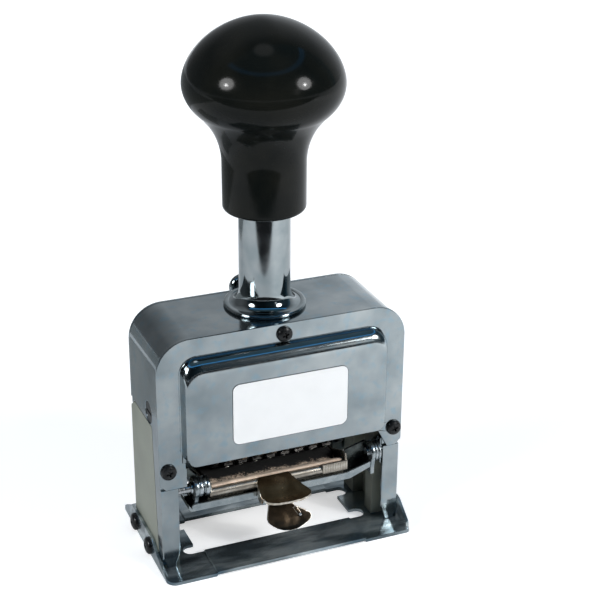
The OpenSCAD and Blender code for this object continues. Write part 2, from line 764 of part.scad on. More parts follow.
// The sheet tray under the pad: a flat bottom, a front flange, and both ends sloped up to the arms
module ink_yoke() {
    left = left_arm_x - arm_t - 0.9;            // where the left end starts to rise
    right = pad_x1 + 1;                         // where the right end starts to rise
    web_y = -pivot_y + stud_r + slide_gap;      // the web between the tray's right end and its arm
    color("silver") difference() {
        union() {
            slab(tray_y0, tray_y1)
                polygon([[left - 1, yoke_top + 1.4], [left, yoke_top], [right, yoke_top],
                         [right_arm_x, yoke_top + 2.7], [right_arm_x, yoke_top + 1.6],
                         [right + 0.4, yoke_top - yoke_t], [left - 0.4, yoke_top - yoke_t],
                         [left - 1, yoke_top]]);
            slab(tray_y0, tray_y0 + tray_lip)
                polygon([[left, yoke_top - 0.5], [left, yoke_top + 0.9], [left + 0.5, yoke_top + tray_lip_h],
                         [right - 0.6, yoke_top + tray_lip_h], [right_arm_x, yoke_top + 3.5],
                         [right_arm_x, yoke_top + 2.2], [right, yoke_top - 0.5]]);
            slab(web_y, web_y + 0.8)
                polygon([[right + 0.1, yoke_top - 0.5], [right + 0.1, yoke_top + 6.9],
                         [right_arm_x, pivot_z + 3], [right_arm_x, yoke_top + 2]]);
            for (s = [-1, 1]) plate(lever_x + s * 5 - 0.6, lever_x + s * 5 + 0.6)
                polygon([[hinge_y - 1.3, hinge_z - 1], [hinge_y - 0.6, yoke_top - yoke_t + eps],
                         [hinge_y + 3, yoke_top - yoke_t + eps], [hinge_y + 1.3, hinge_z - 1]]);
        }
        translate([0, hinge_y, hinge_z]) xrod(0.8, lever_x - 9, lever_x + 9);
    }
}

// A disc across the machine with both rims chamfered
module rim_disc(r, x0, x1, chamfer) {
    translate([x0, 0, 0]) rotate([0, 90, 0]) rotate_extrude()
        polygon([[0, 0], [r - chamfer, 0], [r, chamfer], [r, x1 - x0 - chamfer], [r - chamfer, x1 - x0],
                 [0, x1 - x0]]);
}

module pivot_collars() {
    left_end = left_arm_x;
    right_end = right_arm_x + arm_t;
    disc_w = (pad_x0 - 0.7 - left_end - 0.4) / 2;
    color("silver") translate([0, -pivot_y, pivot_z]) difference() {
        union() {
            rim_disc(1.9, left_end - arm_t - 1, left_end - arm_t, 0.45);
            rim_disc(3, left_end, left_end + disc_w, 0.4);
            xrod(2.5, left_end + disc_w - 0.1, left_end + disc_w + 0.5);
            rim_disc(3, left_end + disc_w + 0.4, pad_x0 - 0.7, 0.4);
            rim_disc(boss_r, right_end, right_end + 0.9, 0.3);
            xrod(2.8, right_end + 0.8, right_end + 1.2);
            rim_disc(3.2, right_end + 1.1, ear_x - slide_gap, 0.3);
        }
        xrod(stud_r + run_gap, -ear_x, pad_x0);
        xrod(stud_r + run_gap, right_end - 1, ear_x);
    }
}

roll_r = 1.7;                           // the holder's front roll
roll_y = -pad_y0 - holder_t - 0.7;
roll_z = pad_top - 1.1;

module pad_holder() {
    wall_y = -pad_y0 - holder_t;
    tab_w = 8;
    color("gainsboro") {
        translate([pad_x0 - 0.7, wall_y, yoke_top])
            cube([pad_x1 - pad_x0 + 1.4, pad_y0 + pad_y1 + 2 * holder_t, holder_t]);
        for (y = [wall_y, pad_y1]) translate([pad_x0 - 0.7, y, yoke_top])
            cube([pad_x1 - pad_x0 + 1.4, holder_t, pad_t - 0.4 + holder_t]);
        plate(pad_x0 - 0.7, pad_x0 - 0.1) holder_end();
        plate(pad_x1 + 0.1, pad_x1 + 0.7) holder_end();
        difference() {
            translate([0, roll_y, roll_z]) xrod(roll_r, pad_x0 - 0.7, pad_x1 + 0.7);
            translate([pad_x0, -pad_y0 - eps, pad_bottom]) cube([pad_x1 - pad_x0, 2, pad_t + 2]);
        }
        translate([pad_x1 + 0.7 - tab_w, roll_y - roll_r - 0.4, roll_z - 0.6]) cube([tab_w, 0.6, 3]);
    }
}

// The end wall of the pad holder, with a lug that reaches the collars
module holder_end() {
    polygon([[-pad_y0 - holder_t, yoke_top], [pad_y1 + holder_t, yoke_top],
             [pad_y1 + holder_t, pad_top - 0.4],
             [-8, pad_top - 0.4], [-10.9, pivot_z + 1.2], [-pivot_y - 0.8, pivot_z + 1.2],
             [-pivot_y - 1.4, pivot_z - 1.4], [roll_y - 1, roll_z], [-pad_y0 - holder_t, yoke_top + 1]]);
}

module ink_pad() {
    color("tan") translate([pad_x0, -pad_y0, pad_bottom])
        cube([pad_x1 - pad_x0, pad_y0 + pad_y1, pad_t]);
}

// Each lever is an outline, given for a lever 16.6 mm wide, that is cut from a bent sheet
lever_scale = lever_w / 16.6;

// The upper lever, in Y and Z from the middle of the holder's roll
module upper_lever() {
    outline = [[-5.8, -0.7], [-7, -2.4], [-7.1, -4.3], [-6.9, -6.6], [-5.9, -8], [-4.3, -8.8], [-2.4, -9.2],
               [1, -9.4], [4.5, -9.3], [6.6, -8.8], [8, -7.9], [8.4, -7], [7.9, -6.2], [6.7, -5.2],
               [5.5, -3.8], [4.4, -2.4], [3.4, -0.7]];
    color("peru") translate([lever_x, roll_y, roll_z]) scale([lever_scale, 1, 1]) {
        intersection() {
            plate(-10, 10)
                polygon([[-0.8, 2.1], [-2, 1.5], [-4.3, -0.1], [-6.6, -1.8], [-8.1, -2.4], [-9.5, -2.8],
                         [-9.4, -3.4], [-8, -3.1], [-6.3, -2.5], [-4, -0.9], [-2.2, 0.4], [-1.78, 0.7],
                         [-1.24, 1.33], [-0.8, 1.7]]);
            translate([0, 0, -5]) linear_extrude(10) polygon(outline);
        }
        plate(-7.1, -6.5) polygon([[-3.1, 0.3], [-4.3, -0.6], [-6.4, -2.2], [-6.2, -3.6], [-4.8, -4.2],
                                   [-3.4, -3.4], [-2.8, -1.6]]);
    }
}

module lever_pin() {
    color("lightgray") translate([0, hinge_y, hinge_z]) xrod(0.78, lever_x - 6, lever_x + 6);
}

// The lower lever, in Y and Z from its hinge
module lower_lever() {
    outline = [[-3.5, 0.1], [-3.6, -1.4], [-4.2, -3.6], [-4.7, -5.2], [-4.5, -6.2], [-3.5, -7], [-2.2, -7.8],
               [-0.5, -8.3], [1.5, -8.55], [3.6, -8.5], [5.7, -8.1], [7.5, -7.6], [8.7, -7], [9.2, -6.2],
               [8.6, -5.3], [6.5, -4.1], [4.6, -3], [3.7, -1.9], [3.5, 0.1]];
    color("peru") translate([lever_x, hinge_y, hinge_z]) difference() {
        union() {
            scale([lever_scale, 1, 1]) intersection() {
                plate(-10, 10)
                    polygon([[-0.9, 0], [-1.2, -1.7], [-2, -3.6], [-3.3, -5.9], [-4.8, -7.7], [-6, -8.6],
                             [-5.6, -9], [-4.4, -8.2], [-2.8, -6.3], [-1.5, -3.9], [-0.5, -1.5], [0.2, -1]]);
                slab(-8, 2) polygon(outline);
            }
            xrod(1.25, -4, 4);
            translate([5, -2.5, -4.4]) rotate([-28, -30, 0]) cylinder(r = 0.45, h = 3, center = true);
        }
        xrod(0.85, -9, 9);
    }
}

// ---- latch and selector ----

module latch_bush() {
    color("silver") translate([0, 0, latch_z]) difference() {
        union() {
            yrod(latch_bush_r, rear_in - 0.6, rear_y + eps);
            yrod(3, rear_y, rear_y + 1.8);
        }
        yrod(latch_r + run_gap, 0, 30);
    }
}

module latch_button() {
    head_y = rear_y + 1.8 + slide_gap + latch_travel;
    color("silver") translate([0, 0, latch_z]) {
        yrod(latch_r, rod_r + slide_gap + latch_travel, head_y + eps);
        translate([0, head_y, 0]) rotate([-90, 0, 0]) rotate_extrude()
            polygon([[0, 0], [latch_head_r - 0.5, 0], [latch_head_r, 0.6], [latch_head_r, 1.9],
                     [latch_head_r - 0.7, 2.6], [latch_head_r - 2, 3], [0, 3.2]]);
    }
}

module selector_stud() {
    color("lightgray") translate([selector_x, 0, selector_z]) {
        yrod(1.45, rear_in - 1, rear_y + 2.9);
        yrod(2.6, rear_y + 2.6, rear_y + 3.6);
    }
}

module selector_lever() {
    color("silver") translate([selector_x, 0, selector_z]) difference() {
        union() {
            yrod(5.2, rear_y + slide_gap, rear_y + 2.3);
            slab(rear_y + slide_gap, rear_y + 1.6) polygon([[-2.6, 0], [-1.2, 9.6], [1.2, 9.6], [2.6, 0]]);
        }
        yrod(1.5, rear_y - 1, rear_y + 5);
    }
}

base_plate();
casing();
front_cover();
rear_cover();
label();
front_screws();
rear_screws();
rail_left();
rail_right();
base_screws();
side_screws();
sleeve();
rod_bush();
return_spring();
pivot_studs();
latch_bush();
selector_stud();
knob();
plunger_rod();
head_bridge();
head_plate_left();
head_plate_right();
runners();
bridge_nut();
wheel_axle();
axle_nuts();
detent_comb();
plate_screws();
number_wheel(1);  // number_wheel_1
number_wheel(2);  // number_wheel_2
number_wheel(3);  // number_wheel_3
number_wheel(4);  // number_wheel_4
number_wheel(5);  // number_wheel_5
number_wheel(6);  // number_wheel_6
number_wheel(7);  // number_wheel_7
number_wheel(8);  // number_wheel_8
pawl_frame();
pawl_comb();
ink_yoke();
yoke_arm_left();
yoke_arm_right();
pivot_collars();
pad_holder();
ink_pad();
upper_lever();
lever_pin();
lower_lever();
latch_button();
selector_lever();
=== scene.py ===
# %% [markdown]
# # A self-inking hand numbering machine
# The machine stamps a number each time its knob is pressed. Its measured form comes from a CAD model,
# which also knows how each part moves. This lesson gives that model its finishes, the small parts
# that CAD leaves plain, and a simple studio.

# %% Load the measured frame
import json
import math
import bpy
from mathutils import Matrix, Vector

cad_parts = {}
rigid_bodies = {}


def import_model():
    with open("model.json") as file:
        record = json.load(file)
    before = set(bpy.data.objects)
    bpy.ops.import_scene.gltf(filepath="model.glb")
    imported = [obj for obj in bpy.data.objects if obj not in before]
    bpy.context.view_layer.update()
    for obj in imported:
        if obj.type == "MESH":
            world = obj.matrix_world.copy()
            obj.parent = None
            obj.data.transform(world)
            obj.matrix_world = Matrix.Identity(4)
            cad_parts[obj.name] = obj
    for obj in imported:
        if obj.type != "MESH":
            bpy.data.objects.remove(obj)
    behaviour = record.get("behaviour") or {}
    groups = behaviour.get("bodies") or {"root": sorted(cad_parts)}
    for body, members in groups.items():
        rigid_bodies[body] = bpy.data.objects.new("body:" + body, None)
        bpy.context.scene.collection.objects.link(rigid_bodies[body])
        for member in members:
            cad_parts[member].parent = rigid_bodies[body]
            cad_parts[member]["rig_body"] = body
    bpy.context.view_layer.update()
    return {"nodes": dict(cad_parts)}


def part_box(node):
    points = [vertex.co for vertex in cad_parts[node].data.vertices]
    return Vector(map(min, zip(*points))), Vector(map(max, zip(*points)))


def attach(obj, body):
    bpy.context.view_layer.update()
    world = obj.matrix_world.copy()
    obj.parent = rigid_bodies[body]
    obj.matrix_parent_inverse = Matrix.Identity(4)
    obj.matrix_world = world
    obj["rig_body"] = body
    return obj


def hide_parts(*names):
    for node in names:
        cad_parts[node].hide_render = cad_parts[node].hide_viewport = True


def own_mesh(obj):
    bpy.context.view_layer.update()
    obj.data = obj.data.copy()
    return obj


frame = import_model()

nodes = frame["nodes"]
mm = 0.001

# %% [markdown]
# ## The camera
# The machine is seen from a little to its left and from above. The camera is placed by three numbers:
# how far round it stands, how high it looks from, and how far away it is. A long lens keeps the
# machine's edges almost parallel.

# %% Place the camera
view_side = math.radians(22.68)
view_height = math.radians(24.17)
view_roll = math.radians(0.40)
view_distance = 0.42541
looked_at = Vector((0.01105, 0.0, 0.07296))

towards_camera = Vector((-math.sin(view_side) * math.cos(view_height),
                         -math.cos(view_side) * math.cos(view_height),
                         math.sin(view_height)))
level_right = (-towards_camera).cross(Vector((0, 0, 1))).normalized()
level_up = level_right.cross(-towards_camera)
camera_right = level_right * math.cos(view_roll) + level_up * math.sin(view_roll)
camera_up = level_up * math.cos(view_roll) - level_right * math.sin(view_roll)
bpy.ops.object.select_all(action="DESELECT")
bpy.ops.object.camera_add(location=looked_at + towards_camera * view_distance)
camera = bpy.context.object
turn = Matrix((camera_right, camera_up, towards_camera)).transposed()
camera.rotation_euler = turn.to_euler()
camera.data.lens = 87.39
camera.data.sensor_width = 36
camera.data.clip_start = 0.01
camera.data.clip_end = 50
bpy.context.scene.camera = camera
print("Camera at", [round(v / mm) for v in camera.location], "mm")

# %% [markdown]
# ## Colours and nodes
# Colours are picked as they look on a screen, but Blender counts light, which grows much faster than
# the number on the screen. One function turns the first into the second. Another adds a shader node,
# sets its values and joins it to earlier nodes, so that each material below reads like a recipe.
# A Mix node has a set of sockets for each kind of data, so its colour sockets go by number: 0 is the
# amount, 6 and 7 are the two colours, and 2 is what comes out. Noise seldom strays from its middle
# tones, so it is mostly these that are stretched over a range.

# %% Helpers for materials
middle_tones = {"From Min": 0.3, "From Max": 0.7}


def light(hex_colour):
    """The linear colour for a screen colour such as "8fa0a4"."""
    parts = [int(hex_colour[i:i + 2], 16) / 255 for i in (0, 2, 4)]
    return tuple(p / 12.92 if p <= 0.04045 else ((p + 0.055) / 1.055) ** 2.4 for p in parts) + (1,)


def set_sockets(tree, node, links):
    """Sets sockets of a node, each to a number, a colour or another node's output."""
    for socket, given in links.items():
        if isinstance(given, bpy.types.NodeSocket):
            tree.links.new(given, node.inputs[socket])
        else:
            node.inputs[socket].default_value = given


def add_node(tree, kind, links=None, out=0, stops=(), **values):
    """Adds a node and returns one of its outputs. values are the node's own fields, links go to its
    sockets, and stops are the (position, screen colour) pairs of a colour ramp."""
    node = tree.nodes.new(kind)
    for name, value in values.items():
        setattr(node, name, value)
    set_sockets(tree, node, links or {})
    for _ in stops[2:]:
        node.color_ramp.elements.new(0.5)
    for number, (position, hex_colour) in enumerate(stops):
        node.color_ramp.elements[number].position = position
        node.color_ramp.elements[number].color = light(hex_colour)
    return node.outputs[out]


def start_material(name):
    """A new material with its shader, and the place on the piece in metres to hang patterns on."""
    material = bpy.data.materials.new(name)
    material.use_nodes = True
    tree = material.node_tree
    shader = tree.nodes["Principled BSDF"]
    return material, tree, shader, add_node(tree, "ShaderNodeTexCoord", out="Object")


# %% [markdown]
# Many small metals follow one pattern: where it is light the metal is both paler and smoother or
# rougher. One recipe makes them all from the pattern's size, its colours and its roughness.

# %% A recipe for a finish with one pattern
def one_pattern(name, size_mm, detail, stops, sockets, stretch=(1, 1, 1), relief=None):
    """A finish that follows one noise pattern, size_mm across and longer along an axis with a small
    stretch. A socket takes a number, or a (from, to) pair that the pattern moves between. relief is
    a (depth in mm, strength) pair."""
    material, tree, shader, place = start_material(name)
    place = add_node(tree, "ShaderNodeMapping", {"Vector": place, "Scale": stretch})
    pattern = add_node(tree, "ShaderNodeTexNoise",
                       {"Vector": place, "Scale": 1 / (size_mm * mm), "Detail": detail})
    links = {"Base Color": add_node(tree, "ShaderNodeValToRGB", {"Fac": pattern}, stops=stops)}
    for socket, given in sockets.items():
        if isinstance(given, tuple):
            given = add_node(tree, "ShaderNodeMapRange",
                             {"Value": pattern, **middle_tones, "To Min": given[0], "To Max": given[1]})
        links[socket] = given
    if relief:
        links["Normal"] = add_node(tree, "ShaderNodeBump",
                                   {"Height": pattern, "Distance": relief[0] * mm, "Strength": relief[1]})
    set_sockets(tree, shader, links)
    print("Made", name)
    return material


# %% [markdown]
# ## Chrome-plated steel
# The casing and covers are pressed from steel sheet about a millimetre thick, ground and chrome-plated.
# Such a plating isn't a mirror: it keeps a soft cloudiness from the grinding, and handling dulls it.
# So the roughness and the tint drift over a centimetre, and a fine grain from the grinding belt runs
# up the sheet. Small patches are painted blue, as a painted reflection of blue light.

# %% Make the chrome-plated steel
chrome_plate, tree, shader, place = start_material("chrome_plated_steel")
cloud = add_node(tree, "ShaderNodeTexNoise", {"Vector": place, "Scale": 1 / (12 * mm), "Detail": 3})
blue_reflection_patch = add_node(tree, "ShaderNodeTexNoise", {"Vector": place, "Scale": 1 / (2.6 * mm), "Detail": 5})
upright = add_node(tree, "ShaderNodeMapping", {"Vector": place, "Scale": (1, 1, 0.06)})
lines = add_node(tree, "ShaderNodeTexNoise", {"Vector": upright, "Scale": 1 / (0.35 * mm), "Detail": 2})
spread = add_node(tree, "ShaderNodeMapRange", {"Value": cloud, **middle_tones, "To Min": 0, "To Max": 1})
shade = add_node(tree, "ShaderNodeValToRGB", {"Fac": spread},
                 stops=[(0, "879195"), (0.5, "9aa2a5"), (1, "aab0b1")])
# Painted reflection: small patches of the colour are tinted blue.
blue = add_node(tree, "ShaderNodeMapRange",
                {"Value": blue_reflection_patch, "From Min": 0.52, "From Max": 0.72, "To Min": 0, "To Max": 0.42})
shade = add_node(tree, "ShaderNodeMix", {0: blue, 6: shade, 7: light("7b9fb2")}, out=2, data_type="RGBA")
rough = add_node(tree, "ShaderNodeMapRange",
                 {"Value": cloud, **middle_tones, "To Min": 0.17, "To Max": 0.10})
relief = add_node(tree, "ShaderNodeBump", {"Height": lines, "Distance": 0.004 * mm, "Strength": 0.25})
set_sockets(tree, shader, {"Base Color": shade, "Metallic": 1.0, "Roughness": rough, "Normal": relief})
print("Made", chrome_plate.name)

# %% [markdown]
# ## Polished chrome
# The sleeve and the latch button are turned and buffed before they are plated, so they reflect their
# surroundings sharply, with dark and light bands along a round part. The collars on the pivots are
# paler and reflect less sharply, as small parts plated in a barrel do.

# %% Make the polished chromes
polished_chrome = one_pattern("polished_chrome", 5, 4, [(0.3, "848e91"), (0.7, "9ba1a3")],
                              {"Metallic": 1.0, "Roughness": (0.05, 0.11)})
bright_chrome = one_pattern("bright_chrome", 2, 3, [(0.3, "a3abae"), (0.7, "c6cccf")],
                            {"Metallic": 1.0, "Roughness": (0.22, 0.32)})

# %% [markdown]
# The base is buffed along its length. That leaves long streaks of rougher and smoother metal, and
# pale and dark streaks of painted reflection run along them, with patches of painted blue reflection.
# The sheet is also a little wavy, so its reflections break up.

# %% Make the buffed plate
buffed_plate, tree, shader, place = start_material("buffed_chrome_plate")
along_strip = add_node(tree, "ShaderNodeMapping", {"Vector": place, "Scale": (0.3, 1, 1)})
buff_and_reflection_streak = add_node(tree, "ShaderNodeTexNoise", {"Vector": along_strip, "Scale": 1 / (6 * mm), "Detail": 3})
cloud = add_node(tree, "ShaderNodeTexNoise", {"Vector": place, "Scale": 1 / (9 * mm), "Detail": 3})
# Painted reflection: pale and dark streaks in the colour, along the buffing streaks.
shade = add_node(tree, "ShaderNodeValToRGB", {"Fac": buff_and_reflection_streak},
                 stops=[(0.4, "5f6a6f"), (0.5, "8f9a9e"), (0.6, "c3cbcd")])
# Painted reflection: patches of the colour are tinted blue.
blue = add_node(tree, "ShaderNodeMapRange",
                {"Value": cloud, "From Min": 0.5, "From Max": 0.75, "To Min": 0, "To Max": 0.5})
shade = add_node(tree, "ShaderNodeMix", {0: blue, 6: shade, 7: light("4f7288")}, out=2, data_type="RGBA")
rough = add_node(tree, "ShaderNodeMapRange",
                 {"Value": buff_and_reflection_streak, **middle_tones, "To Min": 0.1, "To Max": 0.26})
less_long = add_node(tree, "ShaderNodeMapping", {"Vector": place, "Scale": (0.4, 1, 1)})
wave = add_node(tree, "ShaderNodeTexNoise", {"Vector": less_long, "Scale": 1 / (7 * mm), "Detail": 1})
relief = add_node(tree, "ShaderNodeBump", {"Height": wave, "Distance": 0.05 * mm, "Strength": 0.5})
set_sockets(tree, shader, {"Base Color": shade, "Metallic": 0.8, "Roughness": rough, "Normal": relief})
print("Made", buffed_plate.name)

# %% [markdown]
# ## Black phenolic resin
# The knob is moulded from black phenolic resin and buffed. It shows almost nothing but reflections,
# with a very slight waviness from the buffing wheel. Years of handling have dulled it, so it reflects
# less than fresh resin would.

# %% Make the black phenolic
black_phenolic, tree, shader, place = start_material("black_phenolic_resin")
wave = add_node(tree, "ShaderNodeTexNoise", {"Vector": place, "Scale": 1 / (9 * mm), "Detail": 2})
touch = add_node(tree, "ShaderNodeTexNoise", {"Vector": place, "Scale": 1 / (3 * mm), "Detail": 4})
shade = add_node(tree, "ShaderNodeValToRGB", {"Fac": wave}, stops=[(0.3, "0e1110"), (0.7, "171815")])
rough = add_node(tree, "ShaderNodeMapRange",
                 {"Value": touch, **middle_tones, "To Min": 0.09, "To Max": 0.15})
relief = add_node(tree, "ShaderNodeBump", {"Height": wave, "Distance": 0.02 * mm, "Strength": 0.2})
set_sockets(tree, shader, {"Base Color": shade, "Roughness": rough, "IOR": 1.45,
                           "Specular IOR Level": 0.14, "Normal": relief})
print("Made", black_phenolic.name)

# %% [markdown]
# ## Cream acetal
# The guide rails are moulded from a slippery plastic, acetal, so that the head needs no oil. It is a
# dull cream with a fine moulded grain. The faces that look into the machine are painted lighter, as
# painted light that grows unevenly from the outer face inwards.

# %% Make the cream acetal
inner_x, outer_x = 31.4 * mm, 36.9 * mm
cream_acetal, tree, shader, place = start_material("cream_acetal")
stain = add_node(tree, "ShaderNodeTexNoise", {"Vector": place, "Scale": 1 / (14 * mm), "Detail": 3})
inward_light_noise = add_node(tree, "ShaderNodeTexNoise", {"Vector": place, "Scale": 1 / (4 * mm), "Detail": 4})
moulded = add_node(tree, "ShaderNodeTexNoise", {"Vector": place, "Scale": 1 / (0.4 * mm), "Detail": 3})
shade = add_node(tree, "ShaderNodeValToRGB", {"Fac": stain}, stops=[(0.3, "7a7e74"), (0.7, "878b80")])
across = add_node(tree, "ShaderNodeSeparateXYZ", {"Vector": place}, out="X")
across = add_node(tree, "ShaderNodeMath", {0: across}, operation="ABSOLUTE")
# Painted light: paler towards the inner faces, which stand in shade.
painted_light_inward = add_node(tree, "ShaderNodeMapRange",
                 {"Value": across, "From Min": inner_x, "From Max": outer_x, "To Min": 1, "To Max": 0})
inward_light_noise = add_node(tree, "ShaderNodeMapRange",
                {"Value": inward_light_noise, **middle_tones, "To Min": 0.6, "To Max": 1.0})
painted_light_inward = add_node(tree, "ShaderNodeMath", {0: painted_light_inward, 1: inward_light_noise}, operation="MULTIPLY")
shade = add_node(tree, "ShaderNodeMix", {0: painted_light_inward, 6: shade, 7: light("8c8d80")}, out=2, data_type="RGBA")
relief = add_node(tree, "ShaderNodeBump", {"Height": moulded, "Distance": 0.02 * mm, "Strength": 0.5})
set_sockets(tree, shader, {"Base Color": shade, "Roughness": 0.42, "IOR": 1.48, "Normal": relief})
print("Made", cream_acetal.name)

# %% [markdown]
# ## Browned bronze
# The finger levers are a browned spring bronze, slightly dented from use. The upper one is painted
# paler as painted light, and the lower one darker as painted shade. Their cut rims are rubbed, and
# painted brighter still as a painted highlight.

# %% Make the bronzes
browned_bronze, tree, shader, place = start_material("browned_bronze")
tarnish = add_node(tree, "ShaderNodeTexNoise", {"Vector": place, "Scale": 1 / (5 * mm), "Detail": 3})
dents = add_node(tree, "ShaderNodeTexNoise", {"Vector": place, "Scale": 1 / (4.5 * mm), "Detail": 1})
height = add_node(tree, "ShaderNodeSeparateXYZ", {"Vector": place}, out="Z")
# Painted light and shade: a paler copy of the bronze for the upper lever, a darker one for the lower.
upper = add_node(tree, "ShaderNodeValToRGB", {"Fac": tarnish}, stops=[(0.36, "57452f"), (0.66, "7c684e")])
lower = add_node(tree, "ShaderNodeValToRGB", {"Fac": tarnish}, stops=[(0.36, "231c13"), (0.66, "382d20")])
painted_light_split = add_node(tree, "ShaderNodeMapRange",
                    {"Value": height, "From Min": 17 * mm, "From Max": 18 * mm, "To Min": 0, "To Max": 1})
shade = add_node(tree, "ShaderNodeMix", {0: painted_light_split, 6: lower, 7: upper}, out=2, data_type="RGBA")
rough = add_node(tree, "ShaderNodeMapRange",
                 {"Value": tarnish, **middle_tones, "To Min": 0.2, "To Max": 0.3})
relief = add_node(tree, "ShaderNodeBump", {"Height": dents, "Distance": 0.5 * mm, "Strength": 0.5})
set_sockets(tree, shader, {"Base Color": shade, "Metallic": 0.85, "Roughness": rough, "Normal": relief})
print("Made", browned_bronze.name)
# The rims' pale colour is partly rubbed metal and partly a painted highlight.
rubbed_and_highlight_bronze = one_pattern("rubbed_bronze_rim_painted_highlight", 1.2, 3, [(0.35, "b3a898"), (0.7, "e6e0d6")],
                            {"Metallic": 1.0, "Roughness": 0.3})

# %% [markdown]
# ## Stained plate
# The yoke is plated, but its tray and its rear sheet are stained by ink, and only its front flange is
# still bright. So the stain sets in over the millimetre and a half behind the flange.

# %% Make the stained plate
flange_back, stain_start = -14.2 * mm, -12.6 * mm
stained_plate, tree, shader, place = start_material("ink_stained_plate")
depth = add_node(tree, "ShaderNodeSeparateXYZ", {"Vector": place}, out="Y")
blot = add_node(tree, "ShaderNodeTexNoise", {"Vector": place, "Scale": 1 / (3 * mm), "Detail": 5})
back = add_node(tree, "ShaderNodeMapRange",
                {"Value": depth, "From Min": flange_back, "From Max": stain_start, "To Min": 0, "To Max": 1})
front = add_node(tree, "ShaderNodeValToRGB", {"Fac": blot}, stops=[(0.3, "848e92"), (0.7, "a9b0b2")])
rear = add_node(tree, "ShaderNodeValToRGB", {"Fac": blot}, stops=[(0.35, "2c3030"), (0.75, "626866")])
shade = add_node(tree, "ShaderNodeMix", {0: back, 6: front, 7: rear}, out=2, data_type="RGBA")
rough = add_node(tree, "ShaderNodeMapRange",
                 {"Value": blot, **middle_tones, "To Min": 0.14, "To Max": 0.34})
set_sockets(tree, shader, {"Base Color": shade, "Metallic": 0.9, "Roughness": rough})
print("Made", stained_plate.name)

# %% [markdown]
# ## Small metals
# Turned steel and brass show fine rings from the lathe. Zinc plate is grey and softly mottled, and the
# pad holder's is brown with old ink. The wheels are steel that has been inked for years. Their type is
# painted bright, partly as worn steel and partly as a painted highlight where it glints. Spring wire is
# darker, smooth and even, and the screws are blackened.

# %% Make the small metals
turned_steel = one_pattern("turned_steel", 0.5, 2, [(0.3, "a2a5a7"), (0.7, "b9bbbc")],
                           {"Metallic": 1.0, "Roughness": (0.14, 0.3)}, (1, 0.1, 0.1), (0.01, 0.4))
turned_brass = one_pattern("turned_brass", 0.5, 2, [(0.3, "a88a4c"), (0.7, "c7a765")],
                           {"Metallic": 1.0, "Roughness": 0.25}, (0.1, 0.1, 1))
zinc_plate = one_pattern("zinc_plated_steel", 3, 4, [(0.3, "83878a"), (0.7, "a2a5a6")],
                         {"Metallic": 1.0, "Roughness": (0.25, 0.42)})
stained_zinc = one_pattern("ink_stained_zinc", 2, 5, [(0.34, "837c72"), (0.5, "a39c91"), (0.72, "c4beb3")],
                           {"Metallic": 0.85, "Roughness": (0.34, 0.22)}, (0.4, 1, 1))
inked_steel = one_pattern("inked_steel", 2.2, 5, [(0.4, "1b1a1a"), (0.58, "5a5855"), (0.74, "c6c1b9")],
                          {"Metallic": (0.7, 1.0), "Roughness": (0.45, 0.2)})
# The type's pale colour is partly worn steel and partly a painted highlight where it glints.
type_steel = one_pattern("worn_type_steel_painted_glint", 0.8, 4, [(0.36, "3a3836"), (0.5, "b5b1ab"), (0.7, "ebe7e0")],
                         {"Metallic": 1.0, "Roughness": (0.42, 0.22)})
spring_steel = one_pattern("spring_steel", 0.6, 2, [(0.3, "5a5c60"), (0.7, "777a7e")],
                           {"Metallic": 1.0, "Roughness": 0.3})
black_oxide = one_pattern("black_oxide_steel", 1.2, 4, [(0.45, "101112"), (0.8, "2b2d2f")],
                          {"Metallic": 0.1, "Specular IOR Level": 0.3, "Roughness": (0.22, 0.36)})

# %% [markdown]
# ## Felt
# The pad is tan wool felt. The wheels rest on its rear half, so that half is soaked with black ink.
# The ink has crept forward unevenly: a broad noise bends the edge and a fine one frays it. The wool
# itself is matt, with short fibres and a few smudges. The fibres are drawn a quarter of a millimetre
# wide, which is coarser than wool, so that they show.

# %% Make the felt
pad_low, pad_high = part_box("ink_pad")
edge_y = pad_low[1] + 0.18 * (pad_high[1] - pad_low[1])
creep_reach, fray_reach = 6 * mm, 5 * mm
ink_felt, tree, shader, place = start_material("inked_wool_felt")
along = add_node(tree, "ShaderNodeSeparateXYZ", {"Vector": place}, out="Y")
soaked = add_node(tree, "ShaderNodeMath", {0: along, 1: edge_y}, operation="SUBTRACT")
for size, detail, reach in ((2.4 * mm, 6, creep_reach), (0.5 * mm, 3, fray_reach)):
    edge = add_node(tree, "ShaderNodeTexNoise", {"Vector": place, "Scale": 1 / size, "Detail": detail})
    edge = add_node(tree, "ShaderNodeMath", {0: edge, 1: 0.5}, operation="SUBTRACT")
    soaked = add_node(tree, "ShaderNodeMath", {0: edge, 1: reach, 2: soaked}, operation="MULTIPLY_ADD")
soaked = add_node(tree, "ShaderNodeMapRange", {"Value": soaked, "From Min": -1.1 * mm, "From Max": 0.7 * mm,
                                               "To Min": 0, "To Max": 1})
combed = add_node(tree, "ShaderNodeMapping", {"Vector": place, "Scale": (0.3, 1, 1)})
fibres = add_node(tree, "ShaderNodeTexNoise", {"Vector": combed, "Scale": 1 / (0.25 * mm), "Detail": 4})
smudge = add_node(tree, "ShaderNodeTexNoise", {"Vector": place, "Scale": 1 / (4 * mm), "Detail": 4})
smudge = add_node(tree, "ShaderNodeMapRange",
                  {"Value": smudge, "From Min": 0.5, "From Max": 0.75, "To Min": 0, "To Max": 0.4})
wool = add_node(tree, "ShaderNodeValToRGB", {"Fac": fibres}, stops=[(0.3, "e3c6ab"), (0.7, "ffe9d4")])
wool = add_node(tree, "ShaderNodeMix", {0: smudge, 6: wool, 7: light("94826e")}, out=2, data_type="RGBA")
shade = add_node(tree, "ShaderNodeMix", {0: soaked, 6: wool, 7: light("0b0b0b")}, out=2, data_type="RGBA")
relief = add_node(tree, "ShaderNodeBump", {"Height": fibres, "Distance": 0.15 * mm, "Strength": 0.8})
set_sockets(tree, shader, {"Base Color": shade, "Roughness": 0.95, "Sheen Weight": 0.05, "Normal": relief})
print("Made", ink_felt.name)
